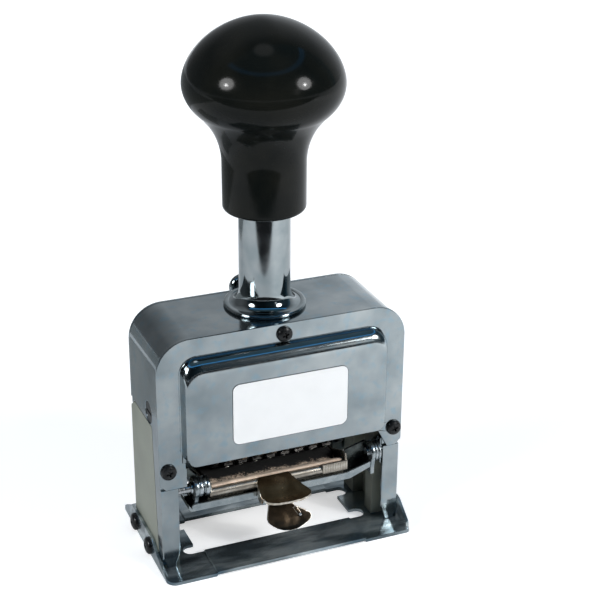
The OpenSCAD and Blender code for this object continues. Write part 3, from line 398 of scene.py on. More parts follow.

# %% [markdown]
# ## Label stock
# The label is white vinyl with a soft sheen and a faint orange-peel surface. Its cut edge is dark
# grey.

# %% Make the label stock
label_vinyl, tree, shader, place = start_material("white_label_vinyl")
tone = add_node(tree, "ShaderNodeTexNoise", {"Vector": place, "Scale": 1 / (7 * mm), "Detail": 3})
peel = add_node(tree, "ShaderNodeTexNoise", {"Vector": place, "Scale": 1 / (0.6 * mm), "Detail": 2})
shade = add_node(tree, "ShaderNodeValToRGB", {"Fac": tone}, stops=[(0.3, "f6f6f5"), (0.7, "fbfbfa")])
relief = add_node(tree, "ShaderNodeBump", {"Height": peel, "Distance": 0.004 * mm, "Strength": 0.3})
set_sockets(tree, shader, {"Base Color": shade, "Roughness": 0.38, "Normal": relief})
print("Made", label_vinyl.name)
label_edge = one_pattern("label_cut_edge", 0.8, 2, [(0.3, "3a3f42"), (0.7, "5c6265")], {"Roughness": 0.5})

# %% [markdown]
# ## Giving the measured parts their finish
# A measured part keeps its mesh, so it only needs its material in place of the plain one. Which finish
# belongs to which part is written out once, as a parts list.

# %% Dress the measured parts
wheels = ["number_wheel_%d" % number for number in range(1, 9)]
finishes = {
    chrome_plate: ["casing", "front_cover", "rear_cover", "selector_lever"],
    buffed_plate: ["base_plate"],
    stained_plate: ["ink_yoke", "yoke_arm_left", "yoke_arm_right"],
    stained_zinc: ["pad_holder"],
    polished_chrome: ["sleeve", "latch_button", "latch_bush"],
    bright_chrome: ["pivot_collars"],
    black_phenolic: ["knob"],
    cream_acetal: ["rail_left", "rail_right"],
    browned_bronze: ["upper_lever", "lower_lever"],
    turned_steel: ["pivot_studs", "selector_stud", "plunger_rod", "wheel_axle", "axle_nuts", "lever_pin"],
    zinc_plate: ["head_bridge", "head_plate_left", "head_plate_right", "runners", "pawl_frame"],
    inked_steel: wheels,
    spring_steel: ["return_spring", "detent_comb", "pawl_comb"],
    turned_brass: ["rod_bush", "bridge_nut"],
    black_oxide: ["front_screws", "rear_screws", "base_screws", "side_screws", "plate_screws"],
    ink_felt: ["ink_pad"],
    label_vinyl: ["label"],
}
for material, names in finishes.items():
    for name in names:
        slots = nodes[name].data.materials
        slots.clear()
        slots.append(material)
print("Dressed", sum(len(names) for names in finishes.values()), "parts of", len(nodes))

# %% [markdown]
# ## Rounding the edges
# No edge of a real pressing is as sharp as CAD draws it. The round on it is only a few tenths of a
# millimetre, but it is what catches the light, so a part without it looks like paper. A measured
# mesh is left as it is: a copy of it has its doubled corners merged and its edges bevelled, and the
# copy is then shown in its place.

# %% A helper for rounded copies
def select_only(piece):
    """Makes the piece the only one that the next operator acts on."""
    if bpy.context.object and bpy.context.object.mode != "OBJECT":
        bpy.ops.object.mode_set(mode="OBJECT")
    bpy.ops.object.select_all(action="DESELECT")
    piece.select_set(True)
    bpy.context.view_layer.objects.active = piece


def apply(piece, kind, **settings):
    """Adds a modifier with these settings and applies it."""
    select_only(piece)
    modifier = piece.modifiers.new(kind.lower(), kind)
    for name, value in settings.items():
        setattr(modifier, name, value)
    bpy.ops.object.modifier_apply(modifier=modifier.name)


def merged_copy(node):
    """A copy of a measured part in one closed skin, with each flat face in one piece."""
    piece = bpy.data.objects.new(node + "_finished", nodes[node].data.copy())
    bpy.context.collection.objects.link(piece)
    select_only(piece)
    bpy.ops.mesh.customdata_custom_splitnormals_clear()
    bpy.ops.object.mode_set(mode="EDIT")
    bpy.ops.mesh.select_all(action="SELECT")
    bpy.ops.mesh.remove_doubles(threshold=0.003 * mm)
    bpy.ops.mesh.mark_sharp(clear=True)
    bpy.ops.mesh.dissolve_limited(angle_limit=math.radians(0.4))
    bpy.ops.object.mode_set(mode="OBJECT")
    return piece


def shade_rounds(piece, angle=32):
    """Smooth shading over the rounds, with the flats kept flat."""
    select_only(piece)
    bpy.ops.object.shade_smooth_by_angle(angle=math.radians(angle))
    apply(piece, "WEIGHTED_NORMAL", keep_sharp=True, weight=60)


def stand_in(piece, node):
    """The piece takes the measured part's place on its body."""
    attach(piece, nodes[node]["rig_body"])
    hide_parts(node)


def rounded_copy(node, edge_mm, rim=None, limit=32, segments=2, smooth=32, clamp=False, piece=None):
    """A copy of a measured part with rounded edges. rim is a finish for the rounds themselves."""
    piece = piece or merged_copy(node)
    slot = -1
    if rim:
        piece.data.materials.append(rim)
        slot = 1
    apply(piece, "BEVEL", width=edge_mm * mm, segments=segments, limit_method="ANGLE",
          angle_limit=math.radians(limit), use_clamp_overlap=clamp, material=slot)
    low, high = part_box(node)
    for vertex in piece.data.vertices:
        vertex.co = [min(max(c, a), b) for c, a, b in zip(vertex.co, low, high)]
    shade_rounds(piece, smooth)
    stand_in(piece, node)
    return piece


# %% Round the pressed sheets
edges = {"casing": 0.3, "base_plate": 0.22, "rear_cover": 0.22,
         "rail_left": 0.25, "rail_right": 0.25, "ink_yoke": 0.16, "yoke_arm_left": 0.18,
         "yoke_arm_right": 0.18, "selector_lever": 0.2, "latch_button": 0.2,
         "pivot_collars": 0.22}
careful = ("rail_left", "rail_right", "upper_lever")
for node, edge in edges.items():
    piece = rounded_copy(node, edge, clamp=node in careful)
    print(node, len(nodes[node].data.polygons), "->", len(piece.data.polygons))

# %% [markdown]
# The front cover's raised panel is drawn into the sheet by a press, so its sides roll over into its
# face in one full round. The CAD panel has that shoulder in four steps. More steps are cut into a copy
# of it, and every outline between the flange and the face is then moved onto a quarter of an ellipse.

# %% Cut finer steps into the panel's shoulder
cover = merged_copy("front_cover")
panel_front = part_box("front_cover")[0].y
flange_front = -15.2 * mm
panel_depth = flange_front - panel_front
shoulder_steps = [0, 1.33, 2.28, 3.23, 3.8]
select_only(cover)
for turned_by in range(6, 90, 6):
    cut = flange_front - panel_depth * math.sin(math.radians(turned_by))
    bpy.ops.object.mode_set(mode="EDIT")
    bpy.ops.mesh.select_all(action="SELECT")
    bpy.ops.mesh.bisect(plane_co=(0, cut, 0), plane_no=(0, 1, 0))
    bpy.ops.object.mode_set(mode="OBJECT")

# %% Roll the shoulder over
shoulder_deep = shoulder_steps[-1]
side_draw, top_draw = 1.4, 4.6
panel_side, panel_foot, above_middle = 32 * mm, 35 * mm, 50 * mm


def step_inset(depth_mm, most, power):
    """How far the measured panel has drawn in at this depth, straight between its four steps."""
    for d0, d1 in zip(shoulder_steps, shoulder_steps[1:]):
        if depth_mm <= d1 + 0.001:
            i0, i1 = (most * (d / shoulder_deep) ** power for d in (d0, d1))
            return i0 + (i1 - i0) * (depth_mm - d0) / (d1 - d0)
    return most


for vertex in cover.data.vertices:
    depth_mm = (flange_front - vertex.co.y) / mm
    on_shoulder = 0.01 < depth_mm < shoulder_deep - 0.01
    if on_shoulder and abs(vertex.co.x) < panel_side and vertex.co.z > panel_foot:
        rolled = 1 - math.sqrt(1 - (depth_mm / shoulder_deep) ** 2)
        side = math.copysign(1, vertex.co.x)
        vertex.co.x += side * (step_inset(depth_mm, side_draw, 2) - side_draw * rolled) * mm
        if vertex.co.z > above_middle:
            vertex.co.z += (step_inset(depth_mm, top_draw, 1.6) - top_draw * rolled) * mm
rounded_copy("front_cover", 0.25, limit=50, smooth=40, piece=cover)
print("The front cover has", len(cover.data.polygons), "faces")

# %% [markdown]
# The levers are cut from thin sheet, and fingers have rubbed the cut walls, which are also painted
# bright as a painted highlight. A cut wall stands square to the direction of the cut, which is up and
# down for the upper lever and front to back for the lower one, so that is how its faces are found.

# %% Round the finger levers
for node, cut_along in (("upper_lever", 2), ("lower_lever", 1)):
    piece = rounded_copy(node, 0.13, rim=rubbed_and_highlight_bronze, limit=50, smooth=40, clamp=node in careful)
    for face in piece.data.polygons:
        if abs(face.normal[cut_along]) < 0.03:
            face.material_index = 1
# The rims are rubbed, and painted bright as a painted highlight.
print("Lever rims are rubbed bright")

# %% [markdown]
# The label is a sticker. A hair-wide border is inset into its face, and the border and the walls are
# coloured dark grey.

# %% Edge the label
sticker = merged_copy("label")
sticker.data.materials.append(label_edge)
bpy.ops.object.mode_set(mode="EDIT")
bpy.ops.mesh.select_mode(type="FACE")
bpy.ops.mesh.select_all(action="DESELECT")
bpy.ops.object.mode_set(mode="OBJECT")
for face in sticker.data.polygons:
    face.select = face.normal.y < -0.99
bpy.ops.object.mode_set(mode="EDIT")
bpy.ops.mesh.inset(thickness=0.13 * mm)
bpy.ops.mesh.select_all(action="INVERT")
bpy.ops.object.mode_set(mode="OBJECT")
for face in sticker.data.polygons:
    face.material_index = 1 if face.select else 0
bpy.ops.object.mode_set(mode="EDIT")
bpy.ops.mesh.select_mode(type="VERT")
bpy.ops.object.mode_set(mode="OBJECT")
shade_rounds(sticker, 30)
stand_in(sticker, "label")
print("The label has", len(sticker.data.polygons), "faces")

# %% [markdown]
# The pad holder is folded from thin zinc-plated sheet. Its end walls slope down from the pivots in one
# straight line, so the corner where the measured wall turns level is drawn back along it. At the right
# end of the roll stands a small tab with fine ridges, for a thumbnail to pull the holder out by.

# %% Finish the pad holder
wall_corner_y, floor_top_z, drawn_back = -8 * mm, 22.5 * mm, 5 * mm
holder = merged_copy("pad_holder")
for vertex in holder.data.vertices:
    if abs(vertex.co.y - wall_corner_y) < 0.05 * mm and vertex.co.z > floor_top_z:
        vertex.co.y += drawn_back
rounded_copy("pad_holder", 0.12, piece=holder)

# %% Ridge the tab
ridge_count, ridge_pitch = 9, 0.8 * mm
first_ridge_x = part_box("pad_holder")[1].x - 0.55 * mm
bpy.ops.object.select_all(action="DESELECT")
bpy.ops.mesh.primitive_cube_add(size=mm, location=(first_ridge_x, -14.3 * mm, 23.05 * mm))
ridges = bpy.context.object
ridges.name = "tab_ridges"
ridges.scale = (0.36, 0.24, 2.7)
bpy.ops.object.transform_apply(location=False, rotation=False, scale=True)
apply(ridges, "BEVEL", width=0.09 * mm, segments=2)
apply(ridges, "ARRAY", count=ridge_count, use_relative_offset=False, use_constant_offset=True,
      constant_offset_displace=(-ridge_pitch, 0, 0))
bpy.ops.object.transform_apply(location=True, rotation=False, scale=False)
ridges.data.materials.append(stained_zinc)
shade_rounds(ridges)
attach(ridges, nodes["pad_holder"]["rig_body"])
print("Each ridge of the tab has", len(ridges.data.polygons) // ridge_count, "faces")

# %% [markdown]
# ## The turned pieces
# The knob, the sleeve and the small stop on the lower lever are bodies of revolution. They are made as
# on a lathe: half of the outline is drawn point by point and spun round the axis. One helper does that
# for all three.

# %% A helper that turns a piece
def turned(name, outline, finish, steps=120):
    """Spins an outline of (radius, height) points in mm round the upright axis."""
    bpy.ops.object.select_all(action="DESELECT")
    bpy.ops.mesh.primitive_plane_add(size=mm, location=(0, 0, 0))
    piece = bpy.context.object
    piece.name = name
    bpy.ops.object.mode_set(mode="EDIT")
    bpy.ops.mesh.merge(type="CENTER")
    bpy.ops.transform.translate(value=(outline[0][0] * mm, 0, outline[0][1] * mm))
    for (r0, z0), (r1, z1) in zip(outline, outline[1:]):
        move = ((r1 - r0) * mm, 0, (z1 - z0) * mm)
        bpy.ops.mesh.extrude_region_move(TRANSFORM_OT_translate={"value": move})
    bpy.ops.mesh.select_all(action="SELECT")
    bpy.ops.mesh.spin(steps=steps, angle=math.tau, center=(0, 0, 0), axis=(0, 0, 1))
    bpy.ops.mesh.select_all(action="SELECT")
    bpy.ops.mesh.remove_doubles(threshold=0.002 * mm)
    bpy.ops.mesh.normals_make_consistent(inside=False)
    bpy.ops.object.mode_set(mode="OBJECT")
    piece.data.materials.append(finish)
    select_only(piece)
    bpy.ops.object.shade_smooth_by_angle(angle=math.radians(40))
    print(name, "has", len(piece.data.polygons), "faces")
    return piece


def arc(centre_r, centre_z, wide, tall, first, last, step, power=1.0):
    """Points round an ellipse, or a fuller curve where power is less than 1."""
    points = []
    for degrees in range(first, last, step):
        c, s = math.cos(math.radians(degrees)), math.sin(math.radians(degrees))
        points.append((centre_r + wide * math.copysign(abs(c) ** power, c),
                       centre_z + tall * math.copysign(abs(s) ** power, s)))
    return points


# %% [markdown]
# The knob has a straight neck, a hollow throat and a full crown.

# %% Turn the knob
knob_low, knob_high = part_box("knob")
knob_r = (knob_high.x - knob_low.x) / 2 / mm
neck_z, knob_top = knob_low.z / mm, knob_high.z / mm
neck_r, lip_r, throat_r, bore_r = 11.9, 1.5, 18.7, 7.75
crown_h, under_h = 18.1, 14.4
widest_z = knob_top - crown_h
outline = [(bore_r, neck_z + 20), (bore_r, neck_z + 0.3), (bore_r + 0.3, neck_z)]
outline += arc(neck_r - lip_r, neck_z + lip_r, lip_r, lip_r, 270, 361, 10)
outline += arc(neck_r + throat_r, neck_z + 13.9, throat_r, throat_r, 180, 142, -3)
outline += arc(0, widest_z, knob_r, under_h, -39, 0, 3)
outline += arc(0, widest_z, knob_r, crown_h, 0, 88, 3, power=2 / 1.84)
outline.append((0, knob_top))
stand_in(turned("turned_knob", outline, black_phenolic), "knob")

# %% [markdown]
# The sleeve flares out into its foot, and the foot ends in a rolled rim with a groove inside it. The
# rim's flat top catches the light all the way round.

# %% Turn the sleeve
sleeve_low, sleeve_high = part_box("sleeve")
foot_z, sleeve_end, foot_r = sleeve_low.z / mm, sleeve_high.z / mm, sleeve_high.x / mm
tube_r, bore_r = 7.45, 6.6
outline = [(bore_r, foot_z), (foot_r - 0.6, foot_z)]
outline += arc(foot_r - 0.6, foot_z + 0.6, 0.6, 0.6, 280, 451, 10)
outline += [(foot_r - 1.0, foot_z + 1.2), (foot_r - 1.45, foot_z + 1.18), (foot_r - 1.6, foot_z + 1.0)]
outline += arc(tube_r + 2.85, foot_z + 5.4, 2.85, 4.4, 270, 180, -6)
outline += [(tube_r, foot_z + 5.4), (tube_r, sleeve_end - 0.4), (tube_r - 0.4, sleeve_end)]
outline += [(bore_r, sleeve_end), (bore_r, foot_z)]
stand_in(turned("turned_sleeve", outline, polished_chrome), "sleeve")

# %% [markdown]
# The stop is a small turned pin with a ball end. It stands on the lower lever, leaning forward and to
# the side, and keeps a finger from pushing the lever too far.

# %% Turn the stop on the lower lever
pin_low, pin_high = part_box("lever_pin")
ball_end = [(0, -1.95), (0.3, -1.9), (0.52, -1.7), (0.6, -1.4), (0.52, -1.1), (0.42, -0.95)]
stop = turned("lever_stop", ball_end + [(0.42, 1.3), (0, 1.4)], turned_steel, steps=20)
stop_place = (pin_low + pin_high) / 2 + Vector((5, -2.5, -4.4)) * mm
lean = Matrix.Rotation(math.radians(-30), 4, "Y") @ Matrix.Rotation(math.radians(-28), 4, "X")
stop.data.transform(Matrix.Translation(stop_place) @ lean)
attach(stop, nodes["lower_lever"]["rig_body"])

# %% [markdown]
# ## The return spring
# The spring stands in the sleeve between its bush and the knob, and lifts the knob again after each
# stamp. It has to get shorter as the knob comes down. Here its copy is only shaded smooth and given a
# mesh of its own.

# %% Coil the return spring
spring = merged_copy("return_spring")
shade_rounds(spring, 75)
stand_in(spring, "return_spring")
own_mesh(spring)

# %% [markdown]
# ## Screw recesses
# The black screws have a cross recess for a screwdriver. It is cut as a cutter would: a small cross of
# two tapered bars is sunk into each head, and what it overlaps is taken away.

# %% A helper that cuts cross recesses
def cross_cutter(centre, outward, length, width, depth):
    """A tapered cross whose wide end lies just outside a screw head. Sizes in mm."""
    bars = []
    for long_side, wide_side in ((length, width), (width, length)):
        bpy.ops.object.select_all(action="DESELECT")
        bpy.ops.mesh.primitive_cube_add(size=mm, location=(0, 0, 0))
        bar = bpy.context.object
        bpy.ops.object.mode_set(mode="EDIT")
        bpy.ops.transform.resize(value=(long_side, wide_side, 2 * depth))
        bpy.ops.mesh.select_all(action="DESELECT")
        bpy.ops.object.mode_set(mode="OBJECT")
        for face in bar.data.polygons:
            face.select = face.normal.z < -0.9
        bpy.ops.object.mode_set(mode="EDIT")
        bpy.ops.transform.resize(value=(0.55, 0.55, 1))
        bpy.ops.object.mode_set(mode="OBJECT")
        bars.append(bar)
    apply(bars[0], "BOOLEAN", operation="UNION", object=bars[1], solver="EXACT")
    bpy.data.objects.remove(bars[1])
    aim = Vector(outward).to_track_quat("Z", "Y").to_matrix().to_4x4()
    aim = aim @ Matrix.Rotation(math.radians(20), 4, "Z")
    bars[0].data.transform(Matrix.Translation(Vector(centre) * mm) @ aim)
    return bars[0]


def recessed_copy(node, centres, outward_of, length=2.7, width=0.75, depth=0.8):
    """A copy of a measured screw set with a cross recess at each centre."""
    piece = merged_copy(node)
    for centre in centres:
        cutter = cross_cutter(centre, outward_of(centre), length, width, depth)
        apply(piece, "BOOLEAN", operation="DIFFERENCE", object=cutter, solver="EXACT")
        bpy.data.objects.remove(cutter)
    shade_rounds(piece, 35)
    stand_in(piece, node)
    print(node, "has", len(piece.data.polygons), "faces")


# %% Cut the cross recesses
front_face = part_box("front_screws")[0].y / mm
rear_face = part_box("rear_screws")[1].y / mm
side_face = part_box("base_screws")[1].x / mm
front = [(x, front_face, z) for x, z in ((0, 70.7), (-35.3, 33.5), (35.3, 33.5))]
rear = [(x, rear_face, z) for x in (-34.6, 34.6) for z in (48.7, 62.8)]
sides = [(x, y, 3.2) for x in (-side_face, side_face) for y in (-4.4, 9.6)]
recessed_copy("front_screws", front, lambda centre: (0, -1, 0))
recessed_copy("rear_screws", rear, lambda centre: (0, 1, 0))
recessed_copy("base_screws", sides, lambda centre: (centre[0], 0, 0))

# %% [markdown]
# ## Raised type
# Each wheel carries the ten figures on its ten blocks. They are engraved as they print: read from
# above, through the wheel, they are the right way round, so that their mark on the paper is too. They
# stand less than a tenth of a millimetre above the block. They are painted bright, partly as worn steel
# and partly as a painted highlight where they glint.

# %% Raise the figures on the wheels
axle_low, axle_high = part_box("wheel_axle")
axle_y, axle_z = (axle_low.y + axle_high.y) / 2, (axle_low.z + axle_high.z) / 2
wheel_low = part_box("number_wheel_1")[0]
type_x = wheel_low.x + 1.58 * mm
wheel_pitch = 4.5
wheel_r = axle_z - wheel_low.z
figures = []
for figure in range(10):
    bpy.ops.object.select_all(action="DESELECT")
    bpy.ops.object.text_add(location=(0, 0, 0))
    letter = bpy.context.object
    letter.data.body = str(figure)
    letter.data.size = 3.9 * mm
    letter.data.align_x = "CENTER"
    letter.data.extrude = 0.13 * mm
    letter.data.resolution_u = 3
    bpy.ops.object.convert(target="MESH")
    letter.data.transform(Matrix.Scale(0.85, 4, (1, 0, 0)))
    middle_x = sum(v.co.x for v in letter.data.vertices) / len(letter.data.vertices)
    down = Matrix.Translation(Vector((type_x - middle_x, -1.37 * mm, -wheel_r + 0.04 * mm)))
    tenth_turns = Matrix.Rotation(math.radians(36 * figure), 4, "X")
    around = Matrix.Translation(Vector((0, axle_y, axle_z))) @ tenth_turns
    letter.data.transform(around @ down)
    figures.append(letter)
select_only(figures[0])
for letter in figures:
    letter.select_set(True)
bpy.ops.object.join()
type_ring = figures[0]
type_ring.data.materials.append(type_steel)
for place_in_row, wheel in enumerate(wheels):
    ring = bpy.data.objects.new("type_figures_%d" % (place_in_row + 1), type_ring.data.copy())
    bpy.context.collection.objects.link(ring)
    ring.data.transform(Matrix.Translation((place_in_row * wheel_pitch * mm, 0, 0)))
    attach(ring, nodes[wheel]["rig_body"])
print("Eight rings of ten figures, each of", len(type_ring.data.polygons), "faces")
bpy.data.objects.remove(type_ring)

# %% [markdown]
# ## The felt pad
# The pad is a strip of thick felt pressed into the holder. A felt block is stiff, so it is modelled
# as one: a rounded block is remeshed evenly, pushed about a little by soft noise, and pressed in by
# nearly a fifth of a millimetre under each wheel. Along the front a thin edge laps over the roll.

# %% Lay the felt pad
lap_y, lap_up, lap_deep, lap_thick = -11.4 * mm, 0.3 * mm, 2.7 * mm, 1.3 * mm
bpy.ops.object.select_all(action="DESELECT")
middle = (pad_low + pad_high) / 2
size = pad_high - pad_low - Vector((0.25, 0.25, 0.1)) * mm
bpy.ops.mesh.primitive_cube_add(size=1, location=middle)
felt = bpy.context.object
felt.name = "felt_pad"
felt.scale = size
bpy.ops.object.transform_apply(location=True, rotation=True, scale=True)
apply(felt, "BEVEL", width=0.75 * mm, segments=4)
bpy.ops.object.select_all(action="DESELECT")
bpy.ops.mesh.primitive_cube_add(size=1, location=(middle.x, lap_y, pad_high.z + lap_up))
lap = bpy.context.object
lap.scale = (size.x, lap_deep, lap_thick)
bpy.ops.object.transform_apply(location=True, rotation=True, scale=True)
apply(felt, "BOOLEAN", operation="UNION", object=lap, solver="EXACT")
bpy.data.objects.remove(lap)
apply(felt, "REMESH", mode="VOXEL", voxel_size=0.42 * mm, use_smooth_shade=True)
apply(felt, "SMOOTH", factor=0.5, iterations=2)
lumps = bpy.data.textures.new("felt_lumps", "CLOUDS")
lumps.noise_scale = 1.6 * mm
apply(felt, "DISPLACE", texture=lumps, texture_coords="LOCAL", strength=0.16 * mm, mid_level=0.75)

# %% Lay the lap over the roll and press the pad in under the wheels
roll_y, roll_z, roll_r = -12.2 * mm, 22.2 * mm, 1.7 * mm
for vertex in felt.data.vertices:
    if vertex.co.y < -10.0 * mm and vertex.co.z > pad_high.z - 0.4 * mm:
        over_roll = roll_z + math.sqrt(max(0, (roll_r + 0.05 * mm) ** 2 - (vertex.co.y - roll_y) ** 2))
        thickness = max(0, vertex.co.z - (pad_high.z - 0.35 * mm)) * 0.5
        vertex.co.z = max(over_roll, pad_high.z - 0.1 * mm) + thickness
row_half_deep, type_half_wide, pressed_in = 3.2 * mm, 1.9 * mm, 0.18 * mm
wheel_middles = [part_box(wheel)[0].x + type_x - wheel_low.x for wheel in wheels]
for vertex in felt.data.vertices:
    if vertex.co.z > middle.z:
        nearest = min(abs(vertex.co.x - x) for x in wheel_middles)
        in_row = max(0, 1 - abs(vertex.co.y - axle_y) / row_half_deep)
        press = max(0, 1 - nearest / type_half_wide) * in_row
        vertex.co.z -= pressed_in * press
felt.data.materials.clear()
felt.data.materials.append(ink_felt)
select_only(felt)
bpy.ops.object.shade_smooth()
stand_in(felt, "ink_pad")
print("The felt has", len(felt.data.polygons), "faces")

# %% [markdown]
# ## The studio
# The machine stands on a pale sheet. The lamps light it, and the machine's shadow falls on it. The
# sheet also glows by itself, and more so farther off, where the lamps fade, so that it stays white.
# In the metal's reflections the glow is weaker, most of all towards the left, which paints shade on
# the metal's left side.

# %% Lay the floor
bpy.ops.object.select_all(action="DESELECT")
bpy.ops.mesh.primitive_plane_add(size=12)
floor = bpy.context.object
floor.name = "floor"
pale_sheet, tree, shader, place = start_material("pale_sheet")
tree.nodes.remove(shader)
in_camera = add_node(tree, "ShaderNodeLightPath", out="Is Camera Ray")
seen = in_camera.node.outputs
shown = add_node(tree, "ShaderNodeMath", {0: in_camera, 1: seen["Is Glossy Ray"]}, operation="ADD")
shown = add_node(tree, "ShaderNodeMath", {0: shown, 1: seen["Is Transmission Ray"]}, operation="ADD")
reach = add_node(tree, "ShaderNodeVectorMath", {0: place}, out="Value", operation="LENGTH")
glow = add_node(tree, "ShaderNodeMapRange",
                {"Value": reach, "From Min": 0.10, "From Max": 0.55, "To Min": 0.50, "To Max": 0.88})
across = add_node(tree, "ShaderNodeSeparateXYZ", {"Vector": place}, out="X")
# Painted shade: in reflections the sheet glows less, most of all towards the left.
less = add_node(tree, "ShaderNodeMapRange",
                {"Value": across, "From Min": -0.01, "From Max": 0.085, "To Min": 0.50, "To Max": 0.17})
less = add_node(tree, "ShaderNodeMath", {0: less, 1: seen["Is Glossy Ray"]}, operation="MULTIPLY")
glow = add_node(tree, "ShaderNodeMath", {0: glow, 1: less}, operation="SUBTRACT")
glow = add_node(tree, "ShaderNodeMath", {0: shown, 1: glow}, operation="MULTIPLY")
paper = add_node(tree, "ShaderNodeBsdfDiffuse", {"Color": light("f4f4f4")})
lift = add_node(tree, "ShaderNodeEmission", {"Color": light("ffffff"), "Strength": glow})
both = add_node(tree, "ShaderNodeAddShader", {0: paper, 1: lift})
set_sockets(tree, tree.nodes["Material Output"], {"Surface": both})
floor.data.materials.append(pale_sheet)
print("The floor is", round(floor.dimensions.x), "m across")

# %% [markdown]
# Polished metal shows the room more than itself. A studio gives chrome its dark lines with dark
# cards on the table, which only the metal sees. One lies in front of the machine, and
# draws the dark stripe down the sleeve, and two grey ones lie at the left behind. Each card glows
# faintly with its own colour instead of being lit, and casts no shadow.

# %% Lay the dark cards
def card(name, side, near, far, half_width, hex_colour, lift_mm=0.4):
    """A card flat on the floor, from near to far metres out, at an angle round from straight in front."""
    bpy.ops.object.select_all(action="DESELECT")
    bpy.ops.mesh.primitive_plane_add(size=1)
    sheet = bpy.context.object
    sheet.name = name
    sheet.data.transform(Matrix.Diagonal((2 * half_width, far - near, 1, 1)))
    sheet.data.transform(Matrix.Translation((0, -(near + far) / 2, lift_mm * mm)))
    sheet.data.transform(Matrix.Rotation(math.radians(side), 4, "Z"))
    sheet.visible_camera = False
    sheet.visible_diffuse = False
    sheet.visible_shadow = False
    board, tree, shader, place = start_material(name + "_board")
    tree.nodes.remove(shader)
    # The card is not lit: it glows with its own colour, and only the metal sees it.
    card_glow = add_node(tree, "ShaderNodeEmission", {"Color": light(hex_colour), "Strength": 1.0})
    set_sockets(tree, tree.nodes["Material Output"], {"Surface": card_glow})
    sheet.data.materials.append(board)
    print(name, "starts", near, "m out")


card("front_card", -22.68, 0.224, 1.6, 1.6, "2c2c2e")
card("left_card", -143.7, 0.100, 0.190, 0.036, "8f9598", 0.6)
card("far_left_card", -150, 0.245, 2.5, 0.5, "8f9598", 0.8)

# %% [markdown]
# Two round softboxes stand left and right of the camera, at its height: they make the two round
# lights on the knob. Each has a small bright lamp in a wide dim screen, as a real softbox has.

# %% Hang the softboxes
lamp_aim = Vector((0, 0, 0.10))
screen_size, bulb_size = 0.34, 0.06


def softbox(name, side, height, distance, size, power):
    """A round lamp at an angle round from straight in front and an angle up, aimed at the knob."""
    side, height = math.radians(side), math.radians(height)
    away = Vector((math.sin(side) * math.cos(height), -math.cos(side) * math.cos(height), math.sin(height)))
    data = bpy.data.lights.new(name, "AREA")
    data.shape = "DISK"
    data.size = size
    data.energy = power
    lamp = bpy.data.objects.new(name, data)
    bpy.context.collection.objects.link(lamp)
    lamp.location = lamp_aim + away * distance
    lamp.rotation_euler = away.to_track_quat("Z", "Y").to_euler()
    print(name, "gives", power, "W")


softbox("left_screen", -77, 26.5, 0.95, screen_size, 4.6)
softbox("left_lamp", -77, 25, 0.93, bulb_size, 1.4)
softbox("right_screen", 40, 25.5, 0.95, screen_size, 4.6)
softbox("right_lamp", 40, 24, 0.93, bulb_size, 1.4)

# %% [markdown]
# A weak, uneven room fills the shadows. It is bright behind the machine and dark in front above the
# table. A narrow blue window high up draws thin blue lines along the rolled edges, a patch of pale
# ceiling draws a white line above them, and a low door at the right a short one below them. The
# camera itself sees plain white above the sheet's far edge, so only the metal shows the room.
# Each part of the room is a light that rises or falls along one direction, so they are listed first.

# %% Measure out the room
world = bpy.data.worlds.new("room")
bpy.context.scene.world = world
world.use_nodes = True
tree = world.node_tree
facing = add_node(tree, "ShaderNodeTexCoord", out="Generated")
axes = add_node(tree, "ShaderNodeSeparateXYZ", {"Vector": facing}).node.outputs
slopes = {  # name: direction, where it starts and ends, the level at each end
    "behind": ("Y", -0.15, 0.55, 0.10, 0.85),
    "right": ("X", -0.35, 0.42, 0.30, 1.0),
    "corner": ("X", 0.30, 0.42, 0.68, 1.05),
    "high": ("Z", 0.45, 0.9, 1.0, 0.25),
    "upper_front": ("Z", 0.70, 0.90, 0, 0.20),
    "ceiling": ("Z", 0.980, 0.990, 0, 0.9),
    "door_left": ("X", 0.345, 0.38, 0, 1),
    "door_right": ("X", 0.46, 0.5, 1, 0),
    "overhead": ("Z", 0.55, 0.85, 0, 0.3),
    "overhead_back": ("Y", 0.1, 0.4, 0, 1),
}
room = {name: add_node(tree, "ShaderNodeMapRange", {"Value": axes[axis], "From Min": start, "From Max": end,
                                                    "To Min": low, "To Max": high})
        for name, (axis, start, end, low, high) in slopes.items()}
ahead = add_node(tree, "ShaderNodeMath", {0: axes["Y"], 1: 0.1}, operation="LESS_THAN")
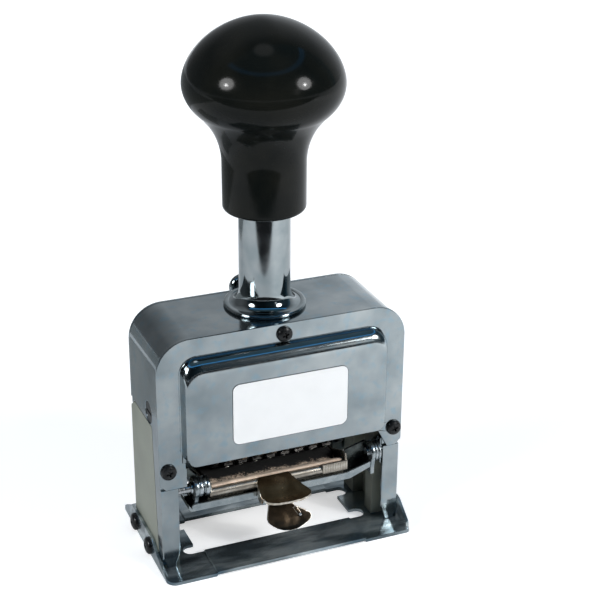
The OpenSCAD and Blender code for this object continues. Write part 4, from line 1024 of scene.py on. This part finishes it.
window_band = add_node(tree, "ShaderNodeMath", {0: axes["Z"], 1: 0.78, 2: 0.03}, operation="COMPARE")
door_band = add_node(tree, "ShaderNodeMath", {0: axes["Z"], 1: 0.23, 2: 0.10}, operation="COMPARE")
print("The room has", len(room), "slopes of light")

# %% Fill the room
level, door = room["behind"], ahead
for factor in (room["right"], room["corner"], room["high"]):
    level = add_node(tree, "ShaderNodeMath", {0: level, 1: factor}, operation="MULTIPLY")
for factor in (door_band, room["door_left"], room["door_right"]):
    door = add_node(tree, "ShaderNodeMath", {0: door, 1: factor}, operation="MULTIPLY")
window = add_node(tree, "ShaderNodeMath", {0: window_band, 1: ahead}, operation="MULTIPLY")
upper = add_node(tree, "ShaderNodeMath", {0: room["upper_front"], 1: ahead}, operation="MULTIPLY")
over = add_node(tree, "ShaderNodeMath", {0: room["overhead"], 1: room["overhead_back"]}, operation="MULTIPLY")
for part, strength in ((upper, 1), (window, 1.3), (room["ceiling"], 1), (door, 0.9), (over, 1)):
    level = add_node(tree, "ShaderNodeMath", {0: part, 1: strength, 2: level}, operation="MULTIPLY_ADD")
tint = light("eef4fa")
for amount, colour in ((ahead, "8fbfd8"), (window, "4aa0e0"), (room["ceiling"], "ffffff"), (door, "ffffff")):
    tint = add_node(tree, "ShaderNodeMix", {0: amount, 6: tint, 7: light(colour)}, out=2, data_type="RGBA")
in_frame = add_node(tree, "ShaderNodeLightPath", out="Is Camera Ray")
tint = add_node(tree, "ShaderNodeMix", {0: in_frame, 6: tint, 7: light("ffffff")}, out=2, data_type="RGBA")
level = add_node(tree, "ShaderNodeMapRange", {"Value": in_frame, **middle_tones, "To Min": level, "To Max": 1})
set_sockets(tree, tree.nodes["Background"], {"Strength": level, "Color": tint})
print("The room is lit")

# %% [markdown]
# ## The colour view
# The colours are shown as they are, without the contrast curve of a film.

# %% Show the colours as they are
bpy.context.scene.view_settings.view_transform = "Standard"
